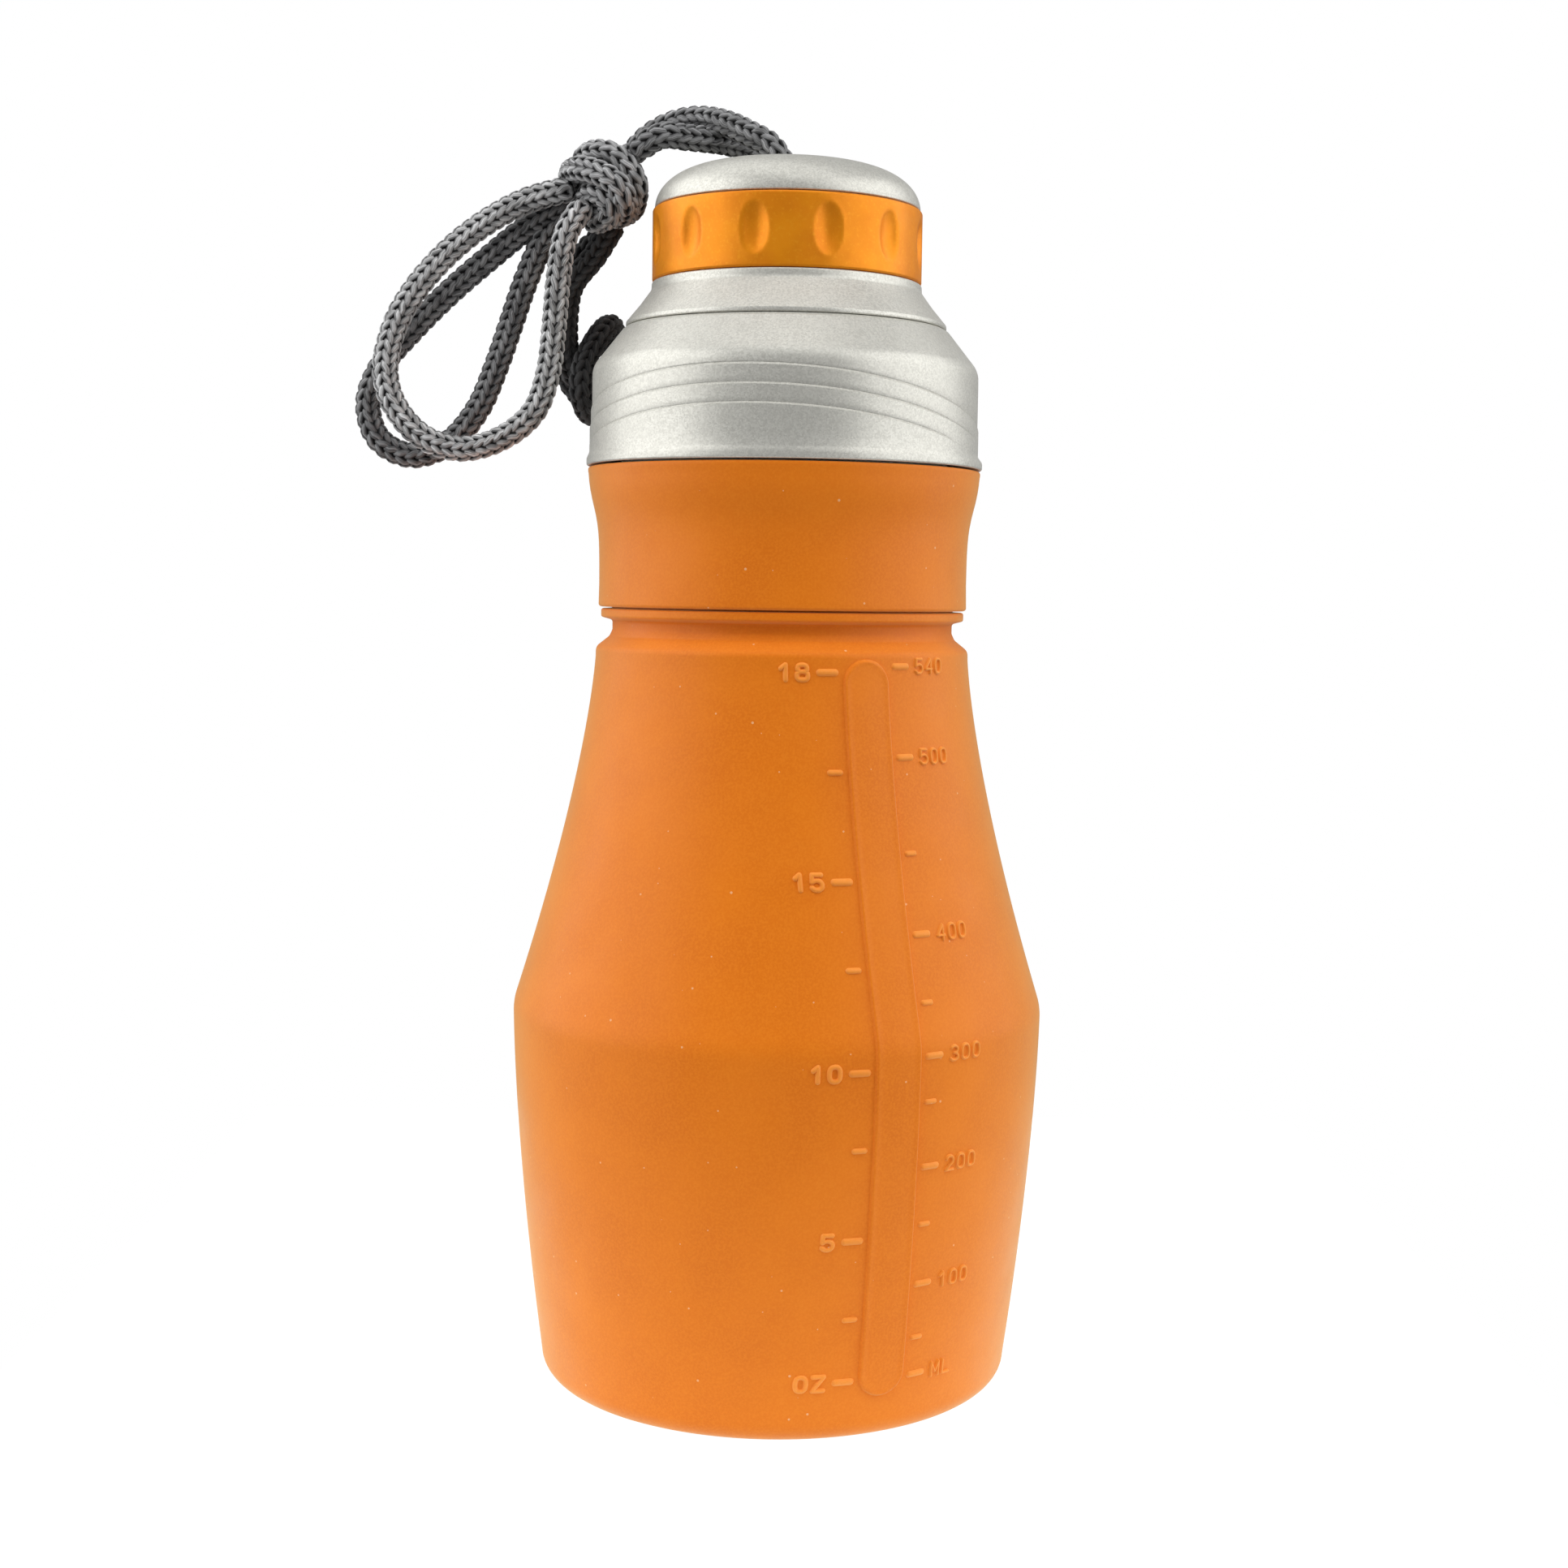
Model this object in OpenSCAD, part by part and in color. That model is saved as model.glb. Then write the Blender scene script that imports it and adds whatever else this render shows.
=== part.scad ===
// Collapsible silicone squeeze bottle with a screw lid, a screw cap and a cord lanyard.
// Units are millimetres. The origin is the centre of the base, on the bottle's axis, and +Z is up.
// The lanyard hangs on the -X side and the measuring strip faces -Y, a little to the right.

/* [Body] */
// Outer radius at the waist, where the cone folds into the barrel
waist_r = 44.7; // [42:0.1:47]
// Height of the waist above the base
waist_z = 63.4; // [58:0.1:68]
// How much the barrel narrows from the waist to the base, in radius
barrel_taper = 5.5; // [4:0.1:7]
// Outer radius at the shoulder, at the top of the cone
shoulder_r = 31.2; // [30:0.1:32]
// Height of the shoulder
shoulder_z = 122; // [118:0.5:124]
// Thickness of the silicone wall
wall = 2; // [1.4:0.1:2.4]
// Thickness of the base
floor_t = 3; // [2:0.1:4]
// Radius of the rounded edge around the base
base_round = 3.5; // [2:0.1:5]
// Depth of the hollow under the base
base_dish = 0.8; // [0.4:0.1:1.2]

/* [Measuring strip] */
// Turn of the strip from the front, towards +X, in degrees
strip_angle = 25; // [0:1:60]
// Width of the strip
strip_w = 8; // [6:0.5:10]
// How far the strip stands out of the wall
strip_t = 0.5; // [0.3:0.1:0.8]
// Height of the strip's lower end
strip_low = 7.2; // [7:0.1:12]
// Height of the strip's upper end
strip_high = 121.6; // [110:0.1:121.8]

/* [Neck] */
// Inner radius of the mouth
mouth_r = 24.4; // [23:0.1:24.8]
// Outer radius of the neck frame where the silicone sleeve fits
sleeve_r = 26.4; // [26:0.1:26.8]
// Height of the mouth's rim
mouth_z = 169; // [168:0.1:169.4]
// Outer radius of the flange that the grip cuff locks on
flange_r = 31; // [30.4:0.1:31.2]

/* [Screw threads] */
// Rise of either thread in one turn
lead = 4; // [3.6:0.1:4.4]
// Depth of engagement of either thread, in radius
thread_h = 1.3; // [1:0.1:1.4]

/* [Lid] */
// Outer radius of the lid's plain wall
lid_r = 32.1; // [31.8:0.1:32.4]
// Step in radius at each of the three tilted decorative lines
line_step = 0.2; // [0.1:0.05:0.25]
// Height drop of a decorative line from its high side to the axis
line_drop = 7.5; // [4:0.5:9]

/* [Spout and cap] */
// Inner radius of the drinking spout
spout_r = 14.6; // [13:0.1:15]
// Height of the spout's rim
spout_z = 198.6; // [197:0.1:198.6]
// Outer radius of the grip band
band_r = 22.35; // [22.2:0.05:22.6]
// Number of finger dimples around the band
dimple_count = 12; // [6:1:16]
// Depth of each dimple
dimple_t = 0.9; // [0.3:0.1:1]
// Outer radius of the cap's dome
dome_r = 22; // [21.8:0.1:22.2]
// Height of the top of the dome
cap_top = 202.9; // [202.4:0.1:203.4]

/* [Lanyard] */
// Diameter of the round cord
cord_d = 4.6; // [4:0.1:4.6]
// Turn of the lanyard bar from the front, towards -X, in degrees
bar_angle = 134; // [128:1:140]

/* [Hidden] */
$fn = 96;

silicone = "#E8791E";
silver = "#C9C8BE";
amber = "#FFA023";
natural = "#E9E7DF";
steel = "#B4B6B8";
cord_grey = "#6E6E70";

fit = 0.1;          // face gap between two pieces that turn against each other
run = 0.05;         // radial gap of a running fit
fold_z = waist_z - 1.4;       // top of the barrel, where the folding wall starts
neck_low_z = shoulder_z;      // where the folding wall ends and the neck starts
groove_z = 126.5;   // middle of the narrow groove under the grip cuff
groove_r = 28.5;
bead_r = 30.4;      // flange of silicone under the cuff
bead_z = 128.3;
bead_t = 1.2;
cuff_z = 129.8;     // lower edge of the grip cuff
flange_z = 146.8;   // underside of the neck frame's flange
flange_t = 3.8;
cuff_top_z = 152.8;
cuff_waist_r = 30.75;          // plain wall of the cuff
cuff_flare = 2.05;  // how far its top flares out, over the flange
cuff_bend_z = 146.6;          // middle of the flare
cuff_bend = 2.1;    // softness of the flare, in height
sleeve_t = 2.2;     // silicone sleeve clamped between the neck frame and the cuff
sleeve_top_z = flange_z - 0.4;
thread_root_r = 27.2;                      // wall of the threaded neck
lid_bore_r = thread_root_r + thread_h + 0.6;
lid_low_z = 153.1;
lid_wall_z = 167.6; // top of the lid's plain wall, where its slope starts
lid_top_z = 175.9;
lid_rim_r = 26.5;   // inner edge of the lid's slope
line_gap = 3;       // height between two decorative lines
line_turn = -11;    // turn of the lines' high side from the front, in degrees
ceiling_z = mouth_z + 1.6;    // underside of the lid's ceiling, above the gasket
plug_r = 24.4;      // spout collar's plug in the lid
plug_low_z = 171.2;
oring_z = 174;      // middle of the plug's groove for the O-ring
oring_groove = 1.6; // height of that groove
collar_low_z = lid_top_z + 0.2;
collar_lip_z = 183.3;
collar_r = 26.6;    // foot of the spout collar's cone
collar_lip_r = 22.4;
collar_mid_r = 24.3;          // point halfway up the slightly hollow cone
collar_mid_z = 179.4;
spout_root_r = 17;
cap_bore_r = spout_root_r + thread_h + 0.5;
cap_low_z = collar_lip_z + 0.3;
band_seat_r = 20.9;           // cap shell's wall under the grip band
band_top_z = 195.2;
dimple_z = 189.5;
dimple_turn = 1.8;  // turn of the row of dimples, in degrees
dome_low_z = band_top_z + 0.15;
ceiling_cap_z = spout_z + 1.4;
recess_r = 8.4;     // recess in the crown that hides the leash's swivel
recess_floor_z = 196.4;
recess_floor_t = 1.4;
swivel_r = 5.6;     // swivel's disc
swivel_t = 1;
post_r = 1.8;       // swivel's post
post_low_z = 193.5;
bail_r = 0.9;       // wire radius of the swivel's bail
bail_half = 3.7;    // half the bail's span, between wire centres
bail_z = 203.1;
retainer_r = 4.2;
retainer_t = 1;
cup_low_z = 192;    // bottom of the liner's cup around the swivel's post
cup_t = 1;
bar_r = 38.5;       // distance of the lanyard bar from the bottle's axis
bar_w = 4;
bar_t = 3;
bar_foot = 2.5;
bar_reach = 11;     // length of the upper foot, in to the lid's slope
bar_low_z = 158.5;
bar_high_z = 174.5;

// Centre of the knot, and the routes of the cord. Every route is an open line from the knot back
// to the knot, except where the cord passes through the bail or around the lanyard bar.
knot_c = [-30.5, 5, 199.7];
knot_r = 7;         // radius of the knot across the cord, and half its length along it
knot_half = 8.2;
knot_lean = -60;
cap_leash_route = [[-26.5, 5, 205], [-23.4, 4.8, 208.2], [-20, 4.6, 210.1], [-16.5, 3.8, 210.9],
    [-13.1, 2.2, 210.6], [-9.3, -0.8, 209.1], [-5.9, -3.2, 207.1], [-3.2, -4.6, 205.4],
    [-1.3, -4.9, 203], [-0.4, -3.4, 200.7], [0, 0, 199.9], [-0.8, 3.6, 201], [-3, 5.6, 204],
    [-6.6, 5.4, 206.5], [-10.4, 3.4, 207.2], [-14, 0.6, 207.1], [-17.4, -1, 207.1],
    [-20.1, -2, 207.2], [-22.6, -1.8, 206.4], [-25, -0.4, 204.8]];
lid_hitch_route = [[-29.4, 6.5, 193.8], [-32.6, 8, 189], [-36.7, 10, 184.2], [-37.9, 12.3, 179],
    [-38, 16.5, 173], [-36.8, 20, 169.5], [-31.6, 19.8, 168.8], [-27.9, 20.7, 168.8],
    [-24.9, 24, 168.8], [-23.6, 28.2, 168.9], [-26.1, 30.9, 169.2], [-30.3, 29.6, 170],
    [-30.9, 25.4, 174.5], [-30.6, 20.8, 178.4], [-32.2, 15.8, 176.8], [-34.9, 13, 171],
    [-35.3, 12.8, 167], [-34.6, 15.6, 163.8], [-32.8, 21, 162.9], [-31, 26.6, 163.4],
    [-28.7, 30.6, 164], [-24.6, 30.4, 164.2], [-23.4, 26.6, 164.2], [-26.3, 22.3, 164.2],
    [-29.8, 19.8, 164.4], [-33.6, 20, 165], [-37.4, 22.4, 168], [-39.7, 22, 173],
    [-39.6, 18.6, 178.6], [-38.6, 15.8, 184.5], [-35, 13.4, 190], [-29.5, 10.5, 194.2]];
front_loop_route = [[-36.5, 3, 199.2], [-43.5, 3, 197.2], [-50.6, 3, 193.4], [-56.8, 2.5, 188.3],
    [-62, 2, 182.3], [-65.5, 1.5, 176], [-66.9, 0.5, 169], [-65.5, 0, 163.2], [-61, 0, 157.9],
    [-54.5, 0, 155.7], [-47.5, 0, 157.5], [-42, 0, 162], [-39.6, 0, 168.5], [-38.6, -0.5, 176],
    [-37.8, -1.5, 184], [-36.6, -1.5, 191], [-34, 0.5, 196]];
back_loop_route = [[-36.6, 6.5, 197.2], [-43.4, 7, 193.7], [-50.5, 7, 188.1], [-57.5, 7, 182],
    [-63.5, 7, 176], [-68.6, 7, 170], [-71, 7, 163.6], [-69.2, 7, 157.6], [-63.8, 7, 154.9],
    [-57.4, 7, 157], [-52.4, 7, 162.7], [-49.2, 7, 170], [-46.6, 7, 177.5], [-44, 7, 185],
    [-40.7, 7, 192], [-36.3, 7, 196.2]];

// ---------------------------------------------------------------- outlines

// The lower of two values, with the corner between them rounded over a width k
function soft_min(a, b, k) = min(a, b) - pow(max(k - abs(a - b), 0), 2) / (4 * k);

function barrel_r(z) = waist_r - barrel_taper * pow(max(1 - z / waist_z, 0), 1.6);

function cone_r(z) =
    shoulder_r + (waist_r - shoulder_r) * pow(1 - (z - waist_z) / (shoulder_z + 1 - waist_z), 1.4);

// Outer radius of the silicone wall at height z, from the base to the shoulder
function body_r(z) = soft_min(barrel_r(z), cone_r(z), 0.8);

// Points of the silicone wall from z0 to z1, moved outwards by grow
function wall_line(z0, z1, count, grow = 0) =
    [for (i = [0 : count]) let (z = z0 + (z1 - z0) * i / count) [body_r(z) + grow, z]];

function arc(cx, cz, r, a0, a1, count) =
    [for (i = [0 : count]) let (a = a0 + (a1 - a0) * i / count) [cx + r * cos(a), cz + r * sin(a)]];

function reversed(list) = [for (i = [len(list) - 1 : -1 : 0]) list[i]];

// Outer radius of the cap's dome at height z: a rounded crown that stays flat on top
function dome_radius(z) =
    dome_r * pow(1 - pow((z - dome_low_z) / (cap_top - dome_low_z), 2), 1 / 3.7);

module revolve(outline) rotate_extrude() polygon(outline);

module ring(outer, inner, z0, z1) {
    revolve([[inner, z0], [outer, z0], [outer, z1], [inner, z1]]);
}

// ---------------------------------------------------------------- screw threads

// One right-hand ridge between radius low_r and high_r, with its width at each of them
module helix_ridge(low_r, high_r, low_w, high_w, z0, turns) {
    per_turn = 24;
    steps = round(turns * per_turn);
    section = [[low_r, -low_w / 2], [low_r, low_w / 2], [high_r, high_w / 2], [high_r, -high_w / 2]];
    points = [for (i = [0 : steps]) let (a = 360 * i / per_turn, z = z0 + lead * i / per_turn)
        for (p = section) [p[0] * cos(a), p[0] * sin(a), z + p[1]]];
    sides = [for (i = [0 : steps - 1]) for (j = [0 : 3]) let (k = (j + 1) % 4)
        [4 * i + j, 4 * i + 4 + j, 4 * i + 4 + k, 4 * i + k]];
    polyhedron(points, concat(sides, [[0, 1, 2, 3], [for (j = [3 : -1 : 0]) 4 * steps + j]]));
}

// Ridge that stands out of a wall of radius wall_r
module outer_thread(wall_r, z0, turns) {
    helix_ridge(wall_r - 0.3, wall_r + thread_h, 2.1, 0.8, z0, turns);
}

// Ridge that stands inwards from a bore of radius bore_r
module inner_thread(bore_r, z0, turns) {
    helix_ridge(bore_r - thread_h, bore_r + 0.3, 0.8, 2.1, z0, turns);
}

// ---------------------------------------------------------------- silicone body

// Raised strip between two heights, as wide as strip_w with round ends
module strip(z0, z1) {
    half = strip_w / 2;
    intersection() {
        rotate_extrude() polygon(concat(
            wall_line(z0, z1, 16, strip_t), reversed(wall_line(z0, z1, 16, -wall / 2))));
        rotate([0, 0, strip_angle]) rotate([90, 0, 0]) linear_extrude(waist_r + 5) union() {
            translate([-half, strip_low + half]) square([strip_w, strip_high - strip_low - strip_w]);
            translate([0, strip_low + half]) circle(half);
            translate([0, strip_high - half]) circle(half);
        }
    }
}

// Base and barrel, up to the line where the wall starts to fold
module body_barrel() color(silicone) union() {
    edge_r = body_r(base_round) - base_round;
    inside = concat([[0, floor_t], [edge_r - wall + 1, floor_t]],
        wall_line(floor_t + 2, fold_z, 12, -wall));
    outside = concat([[0, base_dish], [edge_r - 9, base_dish], [edge_r - 8, 0]],
        arc(edge_r, base_round, base_round, -90, 0, 6), wall_line(base_round + 2, fold_z, 12));
    revolve(concat(outside, reversed(inside)));
    strip(strip_low - 0.1, fold_z);
}

// The wall that rolls down into the barrel when the bottle is collapsed
module body_cone() color(silicone) union() {
    revolve(concat(wall_line(fold_z, neck_low_z, 20),
        reversed(wall_line(fold_z, neck_low_z, 20, -wall))));
    strip(fold_z, strip_high + 0.1);
}

// Shoulder, groove, bead and the sleeve that grips the neck frame
module body_neck() color(silicone) {
    top_r = body_r(neck_low_z);
    round_r = 2.2;
    outside = concat(arc(top_r - round_r, neck_low_z, round_r, 0, 50, 4),
        [[groove_r + 0.7, groove_z - 1.5], [groove_r + 0.15, groove_z - 0.8], [groove_r, groove_z],
         [groove_r + 0.15, groove_z + 0.8], [groove_r + 0.7, bead_z - 0.3], [bead_r - 0.3, bead_z],
         [bead_r, bead_z + 0.3], [bead_r, bead_z + bead_t - 0.3], [bead_r - 0.3, bead_z + bead_t],
         [sleeve_r + sleeve_t, bead_z + bead_t + 0.1], [sleeve_r + sleeve_t, sleeve_top_z]]);
    inside = [[top_r - wall, neck_low_z], [sleeve_r, groove_z], [sleeve_r, sleeve_top_z]];
    revolve(concat(outside, reversed(inside)));
}

// ---------------------------------------------------------------- rigid neck

// Moulded frame inside the neck: a tube in the silicone, a flange and the threaded mouth
module neck_frame() color(natural) union() {
    revolve([[mouth_r, groove_z], [sleeve_r, groove_z], [sleeve_r, flange_z], [flange_r, flange_z],
        [flange_r, flange_z + flange_t], [thread_root_r, flange_z + flange_t],
        [thread_root_r, mouth_z - 0.5], [thread_root_r - 0.5, mouth_z],
        [mouth_r + 0.5, mouth_z], [mouth_r, mouth_z - 0.5]]);
    outer_thread(thread_root_r, mouth_z - 8.4, 1.25);
}

function cuff_r(z) = cuff_waist_r + cuff_flare / (1 + exp((cuff_bend_z - z) / cuff_bend));

// Silicone cuff that clamps the sleeve and locks over the frame's flange
module grip_cuff() color(silicone) {
    edge_r = 0.6;
    low = cuff_z + 4;
    high = cuff_top_z - 0.4;
    inner_top_r = flange_r - 1.4;
    outside = concat(arc(cuff_waist_r + 0.1 - edge_r, cuff_z + edge_r, edge_r, -90, 0, 3),
        [for (i = [0 : 8]) let (z = low + (high - low) * i / 8) [cuff_r(z), z]],
        [[cuff_r(high) - 0.3, cuff_top_z]]);
    inside = [[sleeve_r + sleeve_t, cuff_z], [sleeve_r + sleeve_t, flange_z], [flange_r, flange_z],
        [flange_r, flange_z + flange_t], [inner_top_r, flange_z + flange_t],
        [inner_top_r, cuff_top_z]];
    revolve(concat(outside, reversed(inside)));
}

module lid_gasket() color(natural) {
    ring(thread_root_r + 0.8, mouth_r + 0.4, mouth_z + fit, ceiling_z - 0.05);
}

// ---------------------------------------------------------------- lid

// Lower wall of the lid in three layers, each ending at a plane tilted across the bottle
module lid_layers() {
    tilt = atan(line_drop / lid_r);
    for (i = [0 : 2]) {
        layer_r = lid_r + line_step * (i + 1);
        line_z = lid_wall_z - 0.1 - line_gap * i - line_drop;
        intersection() {
            ring(layer_r, lid_bore_r + 1, lid_low_z + 0.3, lid_wall_z + 0.9);
            rotate([0, 0, line_turn]) translate([0, 0, line_z]) rotate([-tilt, 0, 0])
                translate([-60, -60, -60]) cube([120, 120, 60]);
        }
    }
}

// Bar on two feet at the back of the lid, for the lanyard's hitch
module lanyard_bar() {
    rotate([0, 0, -bar_angle]) translate([0, -bar_r, 0]) {
        translate([-bar_w / 2, -bar_t / 2, bar_low_z]) cube([bar_w, bar_t, bar_high_z - bar_low_z]);
        translate([-bar_w / 2, 0, bar_low_z]) cube([bar_w, bar_r - lid_bore_r - 1, bar_foot]);
        translate([-bar_w / 2, 0, bar_high_z - bar_foot]) cube([bar_w, bar_reach, bar_foot]);
    }
}

// Silver collar that screws on the neck
module shoulder_lid() color(silver) union() {
    outside = concat([[lid_r + 0.5, lid_low_z], [lid_r + 0.9, lid_low_z + 0.4],
        [lid_r + 0.85, lid_low_z + 1.5], [lid_r, lid_low_z + 3.5], [lid_r, lid_wall_z]],
        arc(lid_r - 4, lid_wall_z + 0.2, 4, 8, 42, 5),
        [[lid_rim_r + 0.7, lid_top_z - 0.5], [lid_rim_r + 0.3, lid_top_z - 0.3],
         [lid_rim_r, lid_top_z]]);
    inside = [[lid_bore_r, lid_low_z], [lid_bore_r, ceiling_z], [plug_r + run, ceiling_z],
        [plug_r + run, lid_top_z]];
    revolve(concat(outside, reversed(inside)));
    lid_layers();
    inner_thread(lid_bore_r, mouth_z - 10.2, 1.1);
    lanyard_bar();
}

// ---------------------------------------------------------------- spout

// Upper cone with the drinking spout, snapped into the lid
module spout_collar() color(silver) union() {
    groove = [[plug_r, oring_z - oring_groove / 2], [plug_r - 1.3, oring_z - oring_groove / 2],
        [plug_r - 1.3, oring_z + oring_groove / 2], [plug_r, oring_z + oring_groove / 2]];
    outside = concat([[plug_r + 0.3, plug_low_z - 0.4], [plug_r, plug_low_z]], groove,
        [[plug_r, collar_low_z], [collar_r, collar_low_z], [collar_r, collar_low_z + 0.5],
         [collar_mid_r, collar_mid_z], [collar_lip_r + 0.2, 181.9], [collar_lip_r, 182.3],
         [collar_lip_r, collar_lip_z - 0.3], [collar_lip_r - 0.3, collar_lip_z],
         [spout_root_r, collar_lip_z], [spout_root_r, spout_z - 0.9], [spout_root_r - 0.9, spout_z]]);
    inside = [[plug_r - 2.4, plug_low_z - 0.4], [plug_r - 2.4, collar_low_z + 1.4],
        [collar_lip_r - 1.8, collar_lip_z - 2], [spout_r, collar_lip_z - 2],
        [spout_r, spout_z - 0.6], [spout_r + 0.6, spout_z]];
    revolve(concat(outside, reversed(inside)));
    outer_thread(spout_root_r, spout_z - 7.4, 1.25);
}

module spout_oring() color(natural) {
    translate([0, 0, oring_z]) rotate_extrude() translate([plug_r - 0.62, 0]) circle(0.66, $fn = 32);
}

// ---------------------------------------------------------------- cap

// Eye that the leash loops through: a disc with a bail on top and a post through the crown
module leash_swivel() color(steel) union() {
    disc_low_z = recess_floor_z + fit;
    translate([0, 0, disc_low_z]) cylinder(h = swivel_t, r = swivel_r);
    translate([0, 0, post_low_z]) cylinder(h = disc_low_z + swivel_t - post_low_z, r = post_r);
    for (side = [-1, 1]) translate([side * bail_half, 0, disc_low_z])
        cylinder(h = bail_z - disc_low_z, r = bail_r, $fn = 32);
    for (side = [-1, 1]) translate([side * bail_half, 0, bail_z]) sphere(bail_r, $fn = 32);
    translate([-bail_half, 0, bail_z]) rotate([0, 90, 0])
        cylinder(h = 2 * bail_half, r = bail_r, $fn = 32);
}

// Push-on washer that holds the swivel's post under the crown
module swivel_retainer() color(steel) {
    top_z = recess_floor_z - recess_floor_t - fit;
    ring(retainer_r, post_r, top_z - retainer_t, top_z);
}

// Silver cap with a dished crown
module cap_shell() color(silver) union() {
    dome = [for (i = [0 : 14]) let (a = 6 * i, z = dome_low_z + (cap_top - dome_low_z) * sin(a))
        [dome_radius(z), z]];
    outside = concat([[band_seat_r, cap_low_z], [band_seat_r, dome_low_z]], dome,
        [[recess_r + 0.3, cap_top - 0.1], [recess_r - 0.2, cap_top - 0.5],
         [recess_r - 1, recess_floor_z], [post_r + run, recess_floor_z]]);
    inside = [[cap_bore_r, cap_low_z], [cap_bore_r, ceiling_cap_z], [recess_r + 0.8, ceiling_cap_z],
        [recess_r + 0.4, recess_floor_z - recess_floor_t],
        [post_r + run, recess_floor_z - recess_floor_t]];
    revolve(concat(outside, reversed(inside)));
    inner_thread(cap_bore_r, spout_z - 9.2, 1.1);
}

// Silicone liner: a flat ring that seals on the spout, with a cup around the swivel's post
module cap_liner() color(natural) {
    cup_r = recess_r + 1;
    revolve([[0, cup_low_z], [cup_r + cup_t, cup_low_z], [cup_r + cup_t, spout_z + fit],
        [cap_bore_r - 0.2, spout_z + fit], [cap_bore_r - 0.2, ceiling_cap_z],
        [cup_r, ceiling_cap_z], [cup_r, cup_low_z + cup_t], [0, cup_low_z + cup_t]]);
}

// Soft band with finger dimples, stretched around the cap
module cap_grip_band() color(amber) difference() {
    revolve([[band_seat_r, cap_low_z - 0.2], [band_r - 0.4, cap_low_z - 0.2],
        [band_r, cap_low_z + 0.3], [band_r, band_top_z - 0.5], [band_r - 0.4, band_top_z],
        [band_seat_r, band_top_z]]);
    ball_r = 5.5;
    for (i = [0 : dimple_count - 1])
        rotate([0, 0, 360 * (i + 0.5) / dimple_count + dimple_turn]) for (rise = [-1.4, 0, 1.4])
            translate([0, -band_r - ball_r + dimple_t - abs(rise) * 0.12, dimple_z + rise])
                sphere(ball_r, $fn = 48);
}

// ---------------------------------------------------------------- lanyard

function unit(v) = v / norm(v);

// Direction of a route at point i
function heading(route, i) =
    unit(route[min(i + 1, len(route) - 1)] - route[max(i - 1, 0)]);

// Side vectors carried along the route from ring to ring, so that the tube doesn't twist
function side_vectors(route, side, i = 0) =
    i == len(route) ? [] :
    let (h = heading(route, i), s = unit(side - (side * h) * h))
    concat([s], side_vectors(route, s, i + 1));

// Round tube of diameter d through the points of a route
module tube(route, d) {
    sides = 8;
    first = abs(heading(route, 0) * [0, 1, 0]) < 0.9 ? [0, 1, 0] : [0, 0, 1];
    side = side_vectors(route, first);
    last = len(route) - 1;
    points = [for (i = [0 : last]) let (s = side[i], t = cross(heading(route, i), s))
        for (j = [0 : sides - 1]) let (a = 360 * j / sides)
            route[i] + d / 2 * (cos(a) * s + sin(a) * t)];
    walls = [for (i = [0 : last - 1]) for (j = [0 : sides - 1]) let (k = (j + 1) % sides)
        [sides * i + j, sides * i + sides + j, sides * i + sides + k, sides * i + k]];
    ends = [[for (j = [0 : sides - 1]) j], [for (j = [sides - 1 : -1 : 0]) sides * last + j]];
    polyhedron(points, concat(walls, ends), convexity = 10);
}

module cord_knot() color(cord_grey) {
    translate(knot_c) rotate([0, knot_lean, 0]) rotate_extrude() polygon(concat([[0, -knot_half]],
        [for (a = [-75 : 15 : 75]) [knot_r * cos(a), knot_half * sin(a)]], [[0, knot_half]]));
}

module cord_cap_leash() color(cord_grey) tube(cap_leash_route, cord_d - 0.3);

module cord_lid_hitch() color(cord_grey) tube(lid_hitch_route, cord_d - 0.4);

module cord_hand_loop_front() color(cord_grey) tube(front_loop_route, cord_d);

module cord_hand_loop_back() color(cord_grey) tube(back_loop_route, cord_d);

// ---------------------------------------------------------------- nodes

body_barrel();
body_cone();
body_neck();
neck_frame();
grip_cuff();
lid_gasket();
shoulder_lid();
spout_collar();
spout_oring();
leash_swivel();
swivel_retainer();
cap_shell();
cap_liner();
cap_grip_band();
cord_knot();
cord_cap_leash();
cord_lid_hitch();
cord_hand_loop_front();
cord_hand_loop_back();
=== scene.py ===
"""Looks of a collapsible silicone squeeze bottle with a cord lanyard.

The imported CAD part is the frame. Lengths are in millimetres until a mesh is built, in metres.
+Z is up, the measuring strip faces -Y and a little to +X, and the lanyard hangs on the -X side.
"""
import math

import bpy
import numpy as np
from mathutils import Matrix, Vector


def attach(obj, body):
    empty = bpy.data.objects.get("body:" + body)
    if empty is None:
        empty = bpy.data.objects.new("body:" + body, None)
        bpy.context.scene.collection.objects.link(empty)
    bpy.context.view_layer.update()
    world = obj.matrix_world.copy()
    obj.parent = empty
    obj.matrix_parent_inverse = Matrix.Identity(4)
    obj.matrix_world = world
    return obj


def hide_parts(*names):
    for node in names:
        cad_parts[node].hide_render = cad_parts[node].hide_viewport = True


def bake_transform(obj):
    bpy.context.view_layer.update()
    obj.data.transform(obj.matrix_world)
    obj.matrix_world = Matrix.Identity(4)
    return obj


MM = 0.001

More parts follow.
